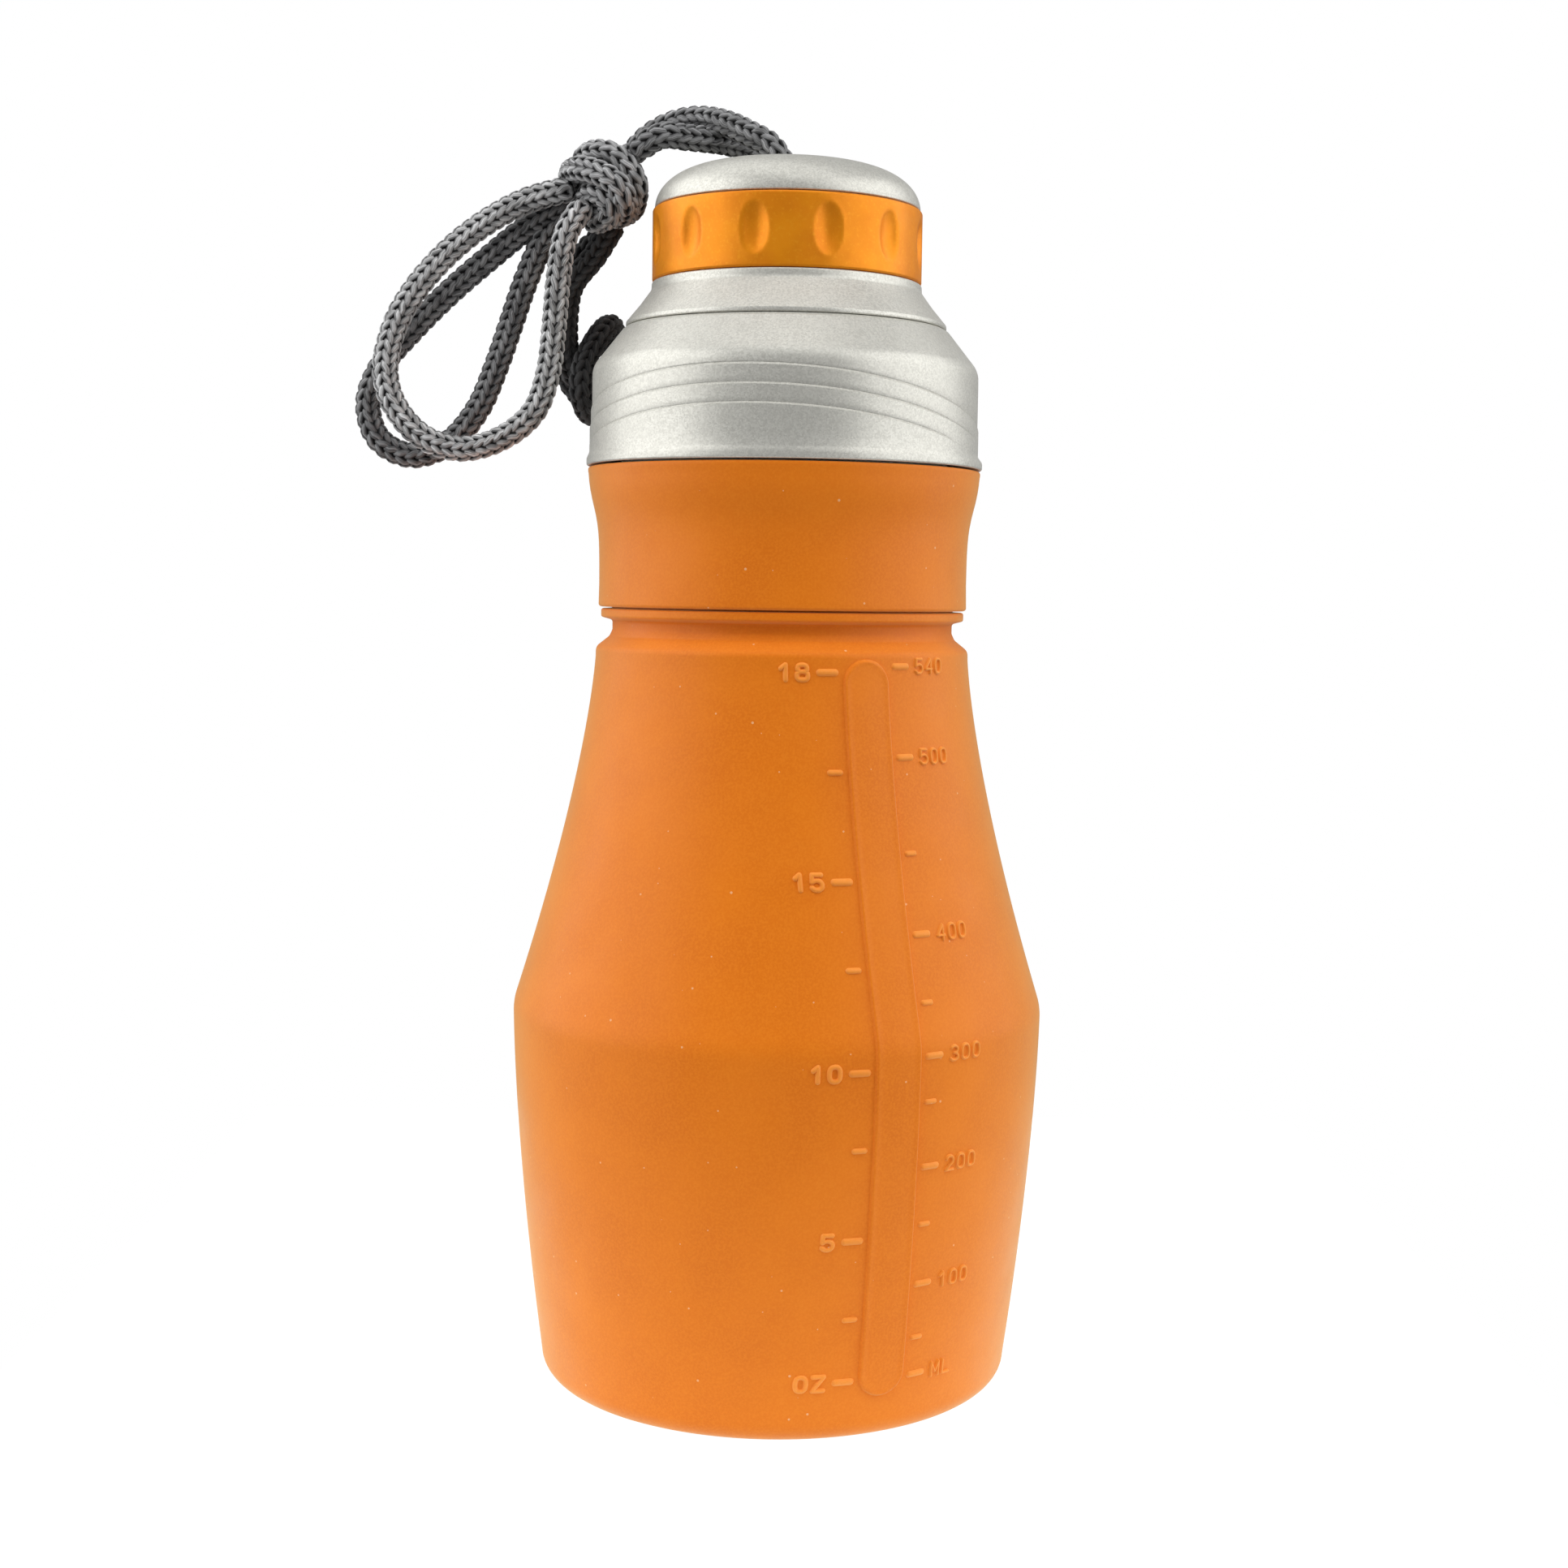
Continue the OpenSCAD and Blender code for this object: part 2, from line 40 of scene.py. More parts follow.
# Sizes of the CAD source, some of them eased for the look
WAIST_R, WAIST_Z = 44.7, 63.4
BARREL_TAPER = 5.5
WAIST_SOFT = 0.5
SHOULDER_R, SHOULDER_Z = 31.2, 122.0
WALL, FLOOR = 2.0, 3.0
BASE_ROUND, BASE_DISH = 3.5, 0.8
STRIP_TURN = math.radians(25)
STRIP_W, STRIP_T = 8.0, 0.5
STRIP_LOW, STRIP_HIGH = 7.2, 122.4
GROOVE_R, GROOVE_Z = 28.5, 126.5
BEAD_R, BEAD_LOW_Z, BEAD_TOP_Z = 30.4, 128.1, 129.5
SLEEVE_R, SLEEVE_T, SLEEVE_TOP_Z = 26.4, 2.2, 146.4
MOUTH_R, MOUTH_Z = 24.4, 169.0
FLANGE_R, FLANGE_Z, FLANGE_T = 31.0, 146.8, 3.8
CUFF_Z, CUFF_TOP_Z = 129.8, 152.8
CUFF_WAIST_R, CUFF_FLARE, CUFF_BEND_Z, CUFF_BEND = 30.75, 2.05, 146.6, 2.1
LEAD, THREAD_H = 4.0, 1.3
THREAD_ROOT_R = 27.2
LID_R, LID_LOW_Z, LID_TOP_Z = 32.1, 153.1, 175.9
LID_LIP_R, LID_LIP_TOP_Z = 33.0, 153.75
LID_COLUMNS = 256
LID_BORE_R = THREAD_ROOT_R + THREAD_H + 0.6
LID_CEILING_Z = MOUTH_Z + 1.6
LINE_STEP, LINE_DROP, LINE_GAP, LINE_TOP_Z = 0.2, 7.5, 3.0, 167.5
LINE_TURN = math.radians(-11)
PLUG_R, PLUG_LOW_Z = 24.4, 171.2
PLUG_GROOVE_LOW_Z, PLUG_GROOVE_TOP_Z, PLUG_GROOVE_T = 173.2, 174.8, 1.3
COLLAR_LOW_Z, COLLAR_LIP_Z = 176.1, 183.3
SPOUT_R, SPOUT_ROOT_R, SPOUT_Z = 14.6, 17.0, 198.6
CAP_BORE_R = SPOUT_ROOT_R + THREAD_H + 0.5
CAP_LOW_Z, CAP_CEILING_Z = 183.6, 200.0
BAND_SEAT_R, BAND_R, BAND_TOP_Z = 20.9, 22.35, 195.2
DIMPLES, DIMPLE_T, DIMPLE_Z = 12, 0.9, 189.5
DIMPLE_HALF_W, DIMPLE_HALF_H = 2.25, 4.05
DIMPLE_TURN = math.radians(1.8)
DOME_R, DOME_LOW_Z, CAP_TOP_Z = 22.0, 195.35, 202.9
RECESS_R, RECESS_FLOOR_Z, RECESS_FLOOR_T = 8.4, 196.4, 1.4
POST_R, POST_LOW_Z = 1.8, 193.5
SWIVEL_R, BAIL_R, BAIL_HALF, BAIL_Z = 5.6, 0.9, 3.7, 203.1
BAR_TURN = math.radians(-134)
BAR_R, BAR_W, BAR_T, BAR_LOW_Z, BAR_HIGH_Z = 38.5, 4.0, 2.8, 158.5, 174.5
YARN_W, YARN_T, CORE_D = 1.28, 0.96, 2.3

# The camera, its sensor and lens in millimetres and its place in metres
CAMERA_SENSOR, CAMERA_LENS = 36.0, 51.24
CAMERA_PLACE = (0.0007, -0.377, 0.1336)
CAMERA_DOWN, CAMERA_ROLL = math.radians(5.07), math.radians(0.8)

# The cord, from the knot back to the knot in each of its four runs, and the knot itself
CAP_LEASH = [[-26.5, 5, 205], [-23.4, 4.8, 208.2], [-20, 4.6, 210.1], [-16.5, 3.8, 210.9],
             [-13.1, 2.2, 210.6], [-9.3, -0.8, 209.1], [-5.9, -3.2, 207.1], [-3.2, -4.6, 205.4],
             [-1.3, -4.9, 203], [-0.4, -3.4, 200.7], [0, 0, 199.9], [-0.8, 3.6, 201],
             [-3, 5.6, 204], [-6.6, 5.4, 206.5], [-10.4, 3.4, 207.2], [-14, 0.6, 207.1],
             [-17.4, -1, 207.1], [-20.1, -2, 207.2], [-22.6, -1.8, 206.4], [-25, -0.4, 204.8]]
LID_HITCH = [[-29.4, 6.5, 193.8], [-32.6, 8, 189], [-36.7, 10, 184.2], [-37.9, 12.3, 179],
             [-38, 16.5, 173], [-36.8, 20, 169.5], [-31.6, 19.8, 168.8], [-27.9, 20.7, 168.8],
             [-24.9, 24, 168.8], [-23.6, 28.2, 168.9], [-26.1, 30.9, 169.2], [-30.3, 29.6, 170],
             [-30.9, 25.4, 174.5], [-30.6, 20.8, 178.4], [-32.2, 15.8, 176.8], [-34.9, 13, 171],
             [-35.3, 12.8, 167], [-34.6, 15.6, 163.8], [-32.8, 21, 162.9], [-31, 26.6, 163.4],
             [-28.7, 30.6, 164], [-24.6, 30.4, 164.2], [-23.4, 26.6, 164.2], [-26.3, 22.3, 164.2],
             [-29.8, 19.8, 164.4], [-33.6, 20, 165], [-37.4, 22.4, 168], [-39.7, 22, 173],
             [-39.6, 18.6, 178.6], [-38.6, 15.8, 184.5], [-35, 13.4, 190], [-29.5, 10.5, 194.2]]
FRONT_LOOP = [[-36.5, 3, 199.2], [-43.5, 3, 197.2], [-50.6, 3, 193.4], [-56.8, 2.5, 188.3],
              [-62, 2, 182.3], [-65.5, 1.5, 176], [-66.9, 0.5, 169], [-65.5, 0, 163.2],
              [-61, 0, 157.9], [-54.5, 0, 155.7], [-47.5, 0, 157.5], [-42, 0, 162],
              [-39.6, 0, 168.5], [-38.6, -0.5, 176], [-37.8, -1.5, 184], [-36.6, -1.5, 191],
              [-34, 0.5, 196]]
BACK_LOOP = [[-36.6, 6.5, 197.2], [-43.4, 7, 193.7], [-50.5, 7, 188.1], [-57.5, 7, 182],
             [-63.5, 7, 176], [-68.6, 7, 170], [-71, 7, 163.6], [-69.2, 7, 157.6],
             [-63.8, 7, 154.9], [-57.4, 7, 157], [-52.4, 7, 162.7], [-49.2, 7, 170],
             [-46.6, 7, 177.5], [-44, 7, 185], [-40.7, 7, 192], [-36.3, 7, 196.2]]
KNOT = [[-30.5, 6, 198.8], [-32.1, 9.5, 201], [-33.9, 8, 203.4], [-34, 4.5, 204.4],
        [-32, 1.2, 204.8], [-29.2, -0.6, 204.2], [-26.7, -1, 202.2], [-25.3, 0, 199.7],
        [-25.7, 3, 197.2], [-27.3, 7.5, 196.1], [-31, 11, 196.6], [-34.6, 11.5, 199.1],
        [-36.4, 8.5, 201], [-36.2, 4, 202.1], [-34, -0.2, 201.8], [-30.6, -2.8, 200.6],
        [-28, -3.4, 198.9], [-26.9, -2.4, 196.9], [-27.4, 1.2, 195.4], [-29.9, 6, 195],
        [-32.8, 8, 195.9], [-33.7, 4.5, 197.4], [-32.2, 0.8, 198.2], [-29.9, -1.2, 197.2],
        [-28.8, -1.2, 195.5], [-30.2, 1, 194.3], [-32.5, 5, 194.4], [-31.9, 7, 196.4]]


# ---------------------------------------------------------------- outlines

def smooth(t):
    """Smooth step from 0 to 1"""
    t = np.clip(t, 0, 1)
    return t * t * (3 - 2 * t)


def soft_min(a, b, k):
    return np.minimum(a, b) - np.maximum(k - np.abs(a - b), 0) ** 2 / (4 * k)


def body_r(z):
    """Outer radius of the silicone wall at height z, from the base to the shoulder"""
    z = np.asarray(z, float)
    barrel = WAIST_R - BARREL_TAPER * np.maximum(1 - z / WAIST_Z, 0) ** 1.6
    share = np.clip((z - WAIST_Z) / (SHOULDER_Z + 1 - WAIST_Z), -1, 1)
    cone = SHOULDER_R + (WAIST_R - SHOULDER_R) * (1 - share) ** 1.4
    return soft_min(barrel, cone, WAIST_SOFT)


def dome_r(z):
    """Outer radius of the cap's crown at height z"""
    rise = (np.asarray(z, float) - DOME_LOW_Z) / (CAP_TOP_Z - DOME_LOW_Z)
    return DOME_R * (1 - np.minimum(rise, 1) ** 2) ** (1 / 3.7)


def rounded(outline, closed=True, count=5):
    """Outline of (radius, height, corner radius) points with its corners rounded into arcs"""
    line, size = [], len(outline)
    for i, (x, z, corner) in enumerate(outline):
        here = np.array([x, z])
        if corner <= 0 or (not closed and i in (0, size - 1)):
            line.append(here)
            continue
        back = np.array(outline[i - 1][:2]) - here
        ahead = np.array(outline[(i + 1) % size][:2]) - here
        back_l, ahead_l = np.linalg.norm(back), np.linalg.norm(ahead)
        back, ahead = back / back_l, ahead / ahead_l
        angle = math.acos(np.clip(back @ ahead, -1, 1))
        if angle > math.radians(176):
            line.append(here)
            continue
        reach = min(corner / math.tan(angle / 2), 0.48 * back_l, 0.48 * ahead_l)
        corner = reach * math.tan(angle / 2)
        middle = back + ahead
        centre = here + middle / np.linalg.norm(middle) * corner / math.sin(angle / 2)
        low, high = here + back * reach - centre, here + ahead * reach - centre
        turn = math.pi - angle
        for k in range(count + 1):
            a, b = math.sin(turn * (1 - k / count)), math.sin(turn * k / count)
            line.append(centre + (low * a + high * b) / math.sin(turn))
    return np.array(line)


def lathe(outline, columns=144):
    """Grid of a surface of revolution, one row for each point of the outline"""
    turn = np.arange(columns) * 2 * math.pi / columns
    r, z = outline[:, 0:1], outline[:, 1:2]
    return np.stack([r * np.sin(turn), -r * np.cos(turn), z + 0 * turn], -1)


# ---------------------------------------------------------------- lines and sweeps

def through(points, per_span=14):
    """Smooth line through the points of a route"""
    p = np.array(points, float)
    p = np.vstack([2 * p[0] - p[1], p, 2 * p[-1] - p[-2]])
    knot = np.concatenate([[0], np.cumsum(np.linalg.norm(np.diff(p, axis=0), axis=1) ** 0.5)])
    line = []
    for i in range(1, len(p) - 2):
        t0, t1, t2, t3 = knot[i - 1:i + 3]
        t = np.linspace(t1, t2, per_span, endpoint=False)[:, None]
        a = ((t1 - t) * p[i - 1] + (t - t0) * p[i]) / (t1 - t0)
        b = ((t2 - t) * p[i] + (t - t1) * p[i + 1]) / (t2 - t1)
        c = ((t3 - t) * p[i + 1] + (t - t2) * p[i + 2]) / (t3 - t2)
        ab = ((t2 - t) * a + (t - t0) * b) / (t2 - t0)
        bc = ((t3 - t) * b + (t - t1) * c) / (t3 - t1)
        line.append(((t2 - t) * ab + (t - t1) * bc) / (t2 - t1))
    return np.vstack(line + [p[-2:-1]])


def length_of(line):
    return float(np.linalg.norm(np.diff(line, axis=0), axis=1).sum())


def even(line, step):
    """The same line with points one step apart"""
    at = np.concatenate([[0], np.cumsum(np.linalg.norm(np.diff(line, axis=0), axis=1))])
    count = max(int(round(at[-1] / step)), 2)
    where = np.linspace(0, at[-1], count + 1)
    return np.stack([np.interp(where, at, line[:, k]) for k in range(3)], -1)


def unit(v):
    return v / np.linalg.norm(v, axis=-1, keepdims=True)


def carried(line, side):
    """Directions along a line, and two side directions carried along it without twist"""
    along = unit(np.gradient(line, axis=0))
    sides = np.empty_like(line)
    for i, a in enumerate(along):
        side = side - a * (side @ a)
        side = side / np.linalg.norm(side)
        sides[i] = side
    return along, sides, np.cross(along, sides)


def oval(width, height, sides, power=2.0):
    """Closed section, from an ellipse to a rounded rectangle as power grows"""
    a = np.arange(sides) * 2 * math.pi / sides
    c, s = np.cos(a), np.sin(a)
    return np.stack([width / 2 * np.sign(c) * np.abs(c) ** (2 / power),
                     height / 2 * np.sign(s) * np.abs(s) ** (2 / power)], -1)


def swept(line, sides, ups, section):
    """Grid of a section carried along a line"""
    return (line[:, None] + section[..., 0:1] * sides[:, None]
            + section[..., 1:2] * ups[:, None])


class Shell:
    """Closed surfaces that make up one piece"""

    def __init__(self):
        self.points, self.faces, self.uvs, self.paint, self.count = [], [], [], [], 0

    def add(self, grid, wrap_rows=False, uv_rows=None, paint=0):
        """Adds a grid whose columns close on themselves; its ends meet or are filled in"""
        rows, columns = grid.shape[:2]
        points = grid.reshape(-1, 3)
        r, c = np.meshgrid(np.arange(rows if wrap_rows else rows - 1), np.arange(columns),
                           indexing="ij")
        r, c = r.ravel(), c.ravel()
        r1, c1 = (r + 1) % rows, (c + 1) % columns
        quads = np.stack([r * columns + c, r1 * columns + c, r1 * columns + c1,
                          r * columns + c1], 1)
        if uv_rows is None:
            uv_rows = np.arange(rows + 1.0)
        u, v, v1 = uv_rows[r], c / columns, (c + 1) / columns
        u1 = uv_rows[np.minimum(r + 1, len(uv_rows) - 1)]
        uv = np.stack([np.stack([u, v], 1), np.stack([u1, v], 1), np.stack([u1, v1], 1),
                       np.stack([u, v1], 1)], 1)
        ends = []
        if not wrap_rows:
            last = (rows - 1) * columns
            ends = [np.arange(columns), last + np.arange(columns)[::-1]]
        a, b, c, d = (points[quads[:, k]] for k in range(4))
        volume = (a * np.cross(b, c)).sum() + (a * np.cross(c, d)).sum()
        for end in ends:
            fan = points[end]
            volume += (fan[0] * np.cross(fan[1:-1], fan[2:])).sum()
        if volume < 0:
            quads, uv, ends = quads[:, ::-1], uv[:, ::-1], [e[::-1] for e in ends]
        self.faces += (quads + self.count).tolist() + [(e + self.count).tolist() for e in ends]
        self.uvs += [uv.reshape(-1, 2)] + [np.zeros((len(e), 2)) for e in ends]
        self.paint += [paint] * (len(quads) + len(ends))
        self.points.append(points)
        self.count += len(points)

    def build(self, name, surfaces, sharp=40):
        mesh = bpy.data.meshes.new(name)
        mesh.from_pydata((np.vstack(self.points) * MM).tolist(), [], self.faces)
        layer = mesh.uv_layers.new(name="along")
        layer.data.foreach_set("uv", np.vstack(self.uvs).astype(np.float32).ravel())
        mesh.polygons.foreach_set("use_smooth", [True] * len(mesh.polygons))
        mesh.set_sharp_from_angle(angle=math.radians(sharp))
        for surface in surfaces if isinstance(surfaces, tuple) else (surfaces,):
            mesh.materials.append(surface)
        mesh.polygons.foreach_set("material_index", self.paint)
        piece = bpy.data.objects.new(name, mesh)
        bpy.context.scene.collection.objects.link(piece)
        return piece


def thread(shell, root_r, crest_r, root_w, crest_w, z0, turns):
    """Right-hand screw ridge that starts at +X and runs out at both ends"""
    per_turn = 90
    steps = int(turns * per_turn)
    a = np.arange(steps + 1) * 2 * math.pi / per_turn
    ease = smooth(np.minimum(a, a[-1] - a) / math.radians(24))[:, None]
    across = np.array([-0.5, -0.42, -0.3, 0, 0.3, 0.42, 0.5, 0])
    height = np.array([0, 0.3, 0.92, 1, 0.92, 0.3, 0, -0.25])
    width = root_w + (crest_w - root_w) * np.clip(height, 0, 1)
    reach = np.where(np.abs(across) > 0.35, root_w, crest_w + 0.9)
    r = root_r + (crest_r - root_r) * height * np.where(height > 0, ease, 1)
    z = z0 + LEAD * a[:, None] / (2 * math.pi) + across * np.minimum(reach, width + 1.2)
    shell.add(np.stack([r * np.cos(a)[:, None], r * np.sin(a)[:, None], z], -1))


# ---------------------------------------------------------------- materials

class Surface:
    """A procedural material on one Principled shader"""

    def __init__(self, name, **sockets):
        self.material = bpy.data.materials.new(name)
        self.material.use_nodes = True
        self.tree = self.material.node_tree
        self.shader = self.tree.nodes["Principled BSDF"]
        self.place = self.tree.nodes.new("ShaderNodeTexCoord").outputs["Object"]
        for socket, value in sockets.items():
            self.shader.inputs[socket.replace("_", " ")].default_value = value

    def node(self, kind, inputs=(), **settings):
        made = self.tree.nodes.new("ShaderNode" + kind)
        for key, value in settings.items():
            setattr(made, key, value)
        for socket, value in dict(inputs).items():
            if isinstance(value, bpy.types.NodeSocket):
                self.tree.links.new(value, made.inputs[socket])
            else:
                made.inputs[socket].default_value = value
        return made

    def link(self, value, socket):
        self.tree.links.new(value, self.shader.inputs[socket])

    def noise(self, scale, detail=3.0, roughness=0.5, place=None):
        return self.node("TexNoise", {"Vector": place or self.place, "Scale": scale,
                                      "Detail": detail, "Roughness": roughness}).outputs["Fac"]

    def spread(self, value, low, high, to_low=0.0, to_high=1.0):
        """Value mapped from low..high to to_low..to_high, and held there"""
        return self.node("MapRange", {"Value": value, "From Min": low, "From Max": high,
                                      "To Min": to_low, "To Max": to_high}).outputs["Result"]

    def math(self, operation, a, b):
        return self.node("Math", {0: a, 1: b}, operation=operation).outputs[0]

    def mix(self, share, a, b):
        made = self.node("Mix", data_type="RGBA")
        for socket, value in ((0, share), (6, a), (7, b)):
            if isinstance(value, bpy.types.NodeSocket):
                self.tree.links.new(value, made.inputs[socket])
            else:
                made.inputs[socket].default_value = value
        return made.outputs[2]

    def bump(self, height, strength, distance, normal=None):
        inputs = {"Height": height, "Strength": strength, "Distance": distance}
        if normal is not None:
            inputs["Normal"] = normal
        return self.node("Bump", inputs).outputs["Normal"]


def silicone_surface(name, low, high):
    """Matt moulded silicone with faint mottling, a fine skin and a few specks of dust"""
    s = Surface(name, Roughness=0.45, Sheen_Weight=0.34, Sheen_Tint=(0.72, 1.0, 0.5, 1.0),
                Specular_IOR_Level=0.2)
    mottle = s.spread(s.noise(75, 4), 0.35, 0.65)
    colour = s.mix(mottle, (*low, 1), (*high, 1))
    grain = s.spread(s.noise(2600, 2), 0.4, 0.65)
    colour = s.mix(s.math("MULTIPLY", grain, 0.4), colour, (0.90, 0.26, 0.012, 1))
    cells = s.node("TexVoronoi", {"Vector": s.place, "Scale": 700.0})
    chance = s.node("SeparateColor", {"Color": cells.outputs["Color"]}).outputs[0]
    size = s.spread(chance, 0.88, 1.0, 0.0, 0.15)
    speck = s.math("LESS_THAN", cells.outputs["Distance"], size)
    colour = s.mix(s.math("MULTIPLY", speck, 0.6), colour, (0.95, 0.6, 0.32, 1))
    s.link(colour, "Base Color")
    s.link(s.spread(s.noise(120, 3), 0.3, 0.7, 0.40, 0.50), "Roughness")
    skin = s.bump(s.noise(1900, 3, 0.6), 0.2, 0.00008)
    s.link(s.bump(s.noise(90, 2), 0.1, 0.0006, skin), "Normal")
    return s.material


def silver_surface():
    """Satin silver paint with a sparkling flake"""
    s = Surface("silver_paint", Metallic=0.55, Roughness=0.42, Coat_Weight=0.1, Coat_Roughness=0.4)
    flakes = s.node("TexVoronoi", {"Vector": s.place, "Scale": 4200.0})
    tone = s.node("SeparateColor", {"Color": flakes.outputs["Color"]})
    colour = s.mix(s.spread(tone.outputs[0], 0.0, 1.0), (0.58, 0.57, 0.515, 1),
                   (0.76, 0.75, 0.685, 1))
    cloud = s.spread(s.noise(60, 3), 0.35, 0.65)
    colour = s.mix(s.math("MULTIPLY", cloud, 0.25), colour, (0.56, 0.55, 0.50, 1))
    s.link(colour, "Base Color")
    s.link(s.spread(tone.outputs[1], 0.0, 1.0, 0.34, 0.50), "Roughness")
    s.link(s.bump(tone.outputs[2], 0.12, 0.00006, s.bump(s.noise(700, 2), 0.1, 0.00012)), "Normal")
    return s.material


def amber_surface():
    """Soft amber grip rubber with a pearl finish"""
    s = Surface("amber_rubber", Metallic=0.4, Roughness=0.42, Specular_IOR_Level=0.35)
    mottle = s.spread(s.noise(160, 4), 0.35, 0.65)
    colour = s.mix(mottle, (0.84, 0.25, 0.002, 1), (0.94, 0.31, 0.003, 1))
    grain = s.spread(s.noise(2300, 2), 0.55, 0.75)
    colour = s.mix(s.math("MULTIPLY", grain, 0.45), colour, (1.0, 0.42, 0.02, 1))
    s.link(colour, "Base Color")
    s.link(s.spread(s.noise(300, 3), 0.3, 0.7, 0.36, 0.48), "Roughness")
    s.link(s.bump(s.noise(1700, 3, 0.6), 0.2, 0.00009), "Normal")
    return s.material


def cord_surface(name, dark, light):
    """Knitted polyester: fine fibres along each strand, with painted shade on each strand's sides, so
    pale on top and dark between strands
    """
    s = Surface(name, Roughness=0.8, Sheen_Weight=0.1, Sheen_Roughness=0.5,
                Specular_IOR_Level=0.3)
    along = s.node("UVMap", uv_map="along").outputs["UV"]
    stretch = s.node("Mapping", {"Vector": along, "Scale": (0.35, 26.0, 1.0)}).outputs["Vector"]
    fibres = s.noise(1.0, 3, 0.6, stretch)
    patches = s.noise(450, 3)
    tone = s.math("ADD", s.math("MULTIPLY", fibres, 0.7), s.math("MULTIPLY", patches, 0.3))
    # Painted shade: each strand is darkened away from its top, as if shaded where it dips between the
    # strands.
    round_it = s.node("SeparateXYZ", {"Vector": along}).outputs["Y"]
    from_top = s.math("ABSOLUTE", s.math("SUBTRACT", round_it, 0.25), 0.0)
    top = s.spread(from_top, 0.03, 0.22, 1.0, 0.0)
    tone = s.math("MULTIPLY", s.spread(tone, 0.36, 0.64, 0.1, 1.0), top)
    s.link(s.mix(tone, (*dark, 1), (*light, 1)), "Base Color")
    fuzz = s.bump(s.noise(3800, 2), 0.25, 0.0001)
    s.link(s.bump(fibres, 0.85, 0.00022, fuzz), "Normal")
    return s.material


def natural_surface():
    """Natural white polypropylene, a little cloudy"""
    s = Surface("natural_plastic", Roughness=0.36, Subsurface_Weight=0.15,
                Subsurface_Scale=0.003)
    colour = s.mix(s.spread(s.noise(110, 4), 0.3, 0.7), (0.74, 0.71, 0.63, 1),
                   (0.83, 0.81, 0.74, 1))
    s.link(colour, "Base Color")
    s.link(s.spread(s.noise(500, 3), 0.3, 0.7, 0.3, 0.44), "Roughness")
    s.link(s.bump(s.noise(900, 2), 0.12, 0.0001), "Normal")
    return s.material


def seal_surface():
    """Clear-grey seal silicone"""
    s = Surface("seal_silicone", Roughness=0.48, Subsurface_Weight=0.25, Subsurface_Scale=0.002)
    colour = s.mix(s.spread(s.noise(200, 3), 0.3, 0.7), (0.70, 0.70, 0.68, 1),
                   (0.82, 0.82, 0.80, 1))
    s.link(colour, "Base Color")
    s.link(s.bump(s.noise(1400, 3), 0.15, 0.00008), "Normal")
    return s.material


def steel_surface():
    """Brushed stainless steel"""
    s = Surface("swivel_steel", Metallic=1.0, Roughness=0.28)
    streaks = s.node("Mapping", {"Vector": s.place, "Scale": (900.0, 900.0, 90.0)})
    brushed = s.noise(1.0, 3, 0.6, streaks.outputs["Vector"])
    colour = s.mix(s.spread(brushed, 0.3, 0.7), (0.50, 0.50, 0.51, 1), (0.68, 0.68, 0.69, 1))
    s.link(colour, "Base Color")
    s.link(s.spread(brushed, 0.3, 0.7, 0.22, 0.38), "Roughness")
    s.link(s.bump(brushed, 0.15, 0.00005), "Normal")
    return s.material


# ---------------------------------------------------------------- camera, lights, floor

def make_camera():
    data = bpy.data.cameras.new("camera")
    data.sensor_width, data.lens = CAMERA_SENSOR, CAMERA_LENS
    data.clip_start, data.clip_end = 0.01, 30
    camera = bpy.data.objects.new("camera", data)
    bpy.context.scene.collection.objects.link(camera)
    camera.matrix_world = (Matrix.Translation(CAMERA_PLACE)
                           @ Matrix.Rotation(math.pi / 2 - CAMERA_DOWN, 4, "X")
                           @ Matrix.Rotation(CAMERA_ROLL, 4, "Z"))
    bpy.context.scene.camera = camera


def soft_box(name, place, size, power, aim=(0, 0, 0.11), glossy=True):
    light = bpy.data.lights.new(name, "AREA")
    light.shape, light.size, light.size_y = "RECTANGLE", size[0], size[1]
    light.energy = power
    lamp = bpy.data.objects.new(name, light)
    lamp.location = place
    lamp.visible_glossy = glossy
    lamp.rotation_euler = (Vector(aim) - Vector(place)).to_track_quat("-Z", "Y").to_euler()
    bpy.context.scene.collection.objects.link(lamp)


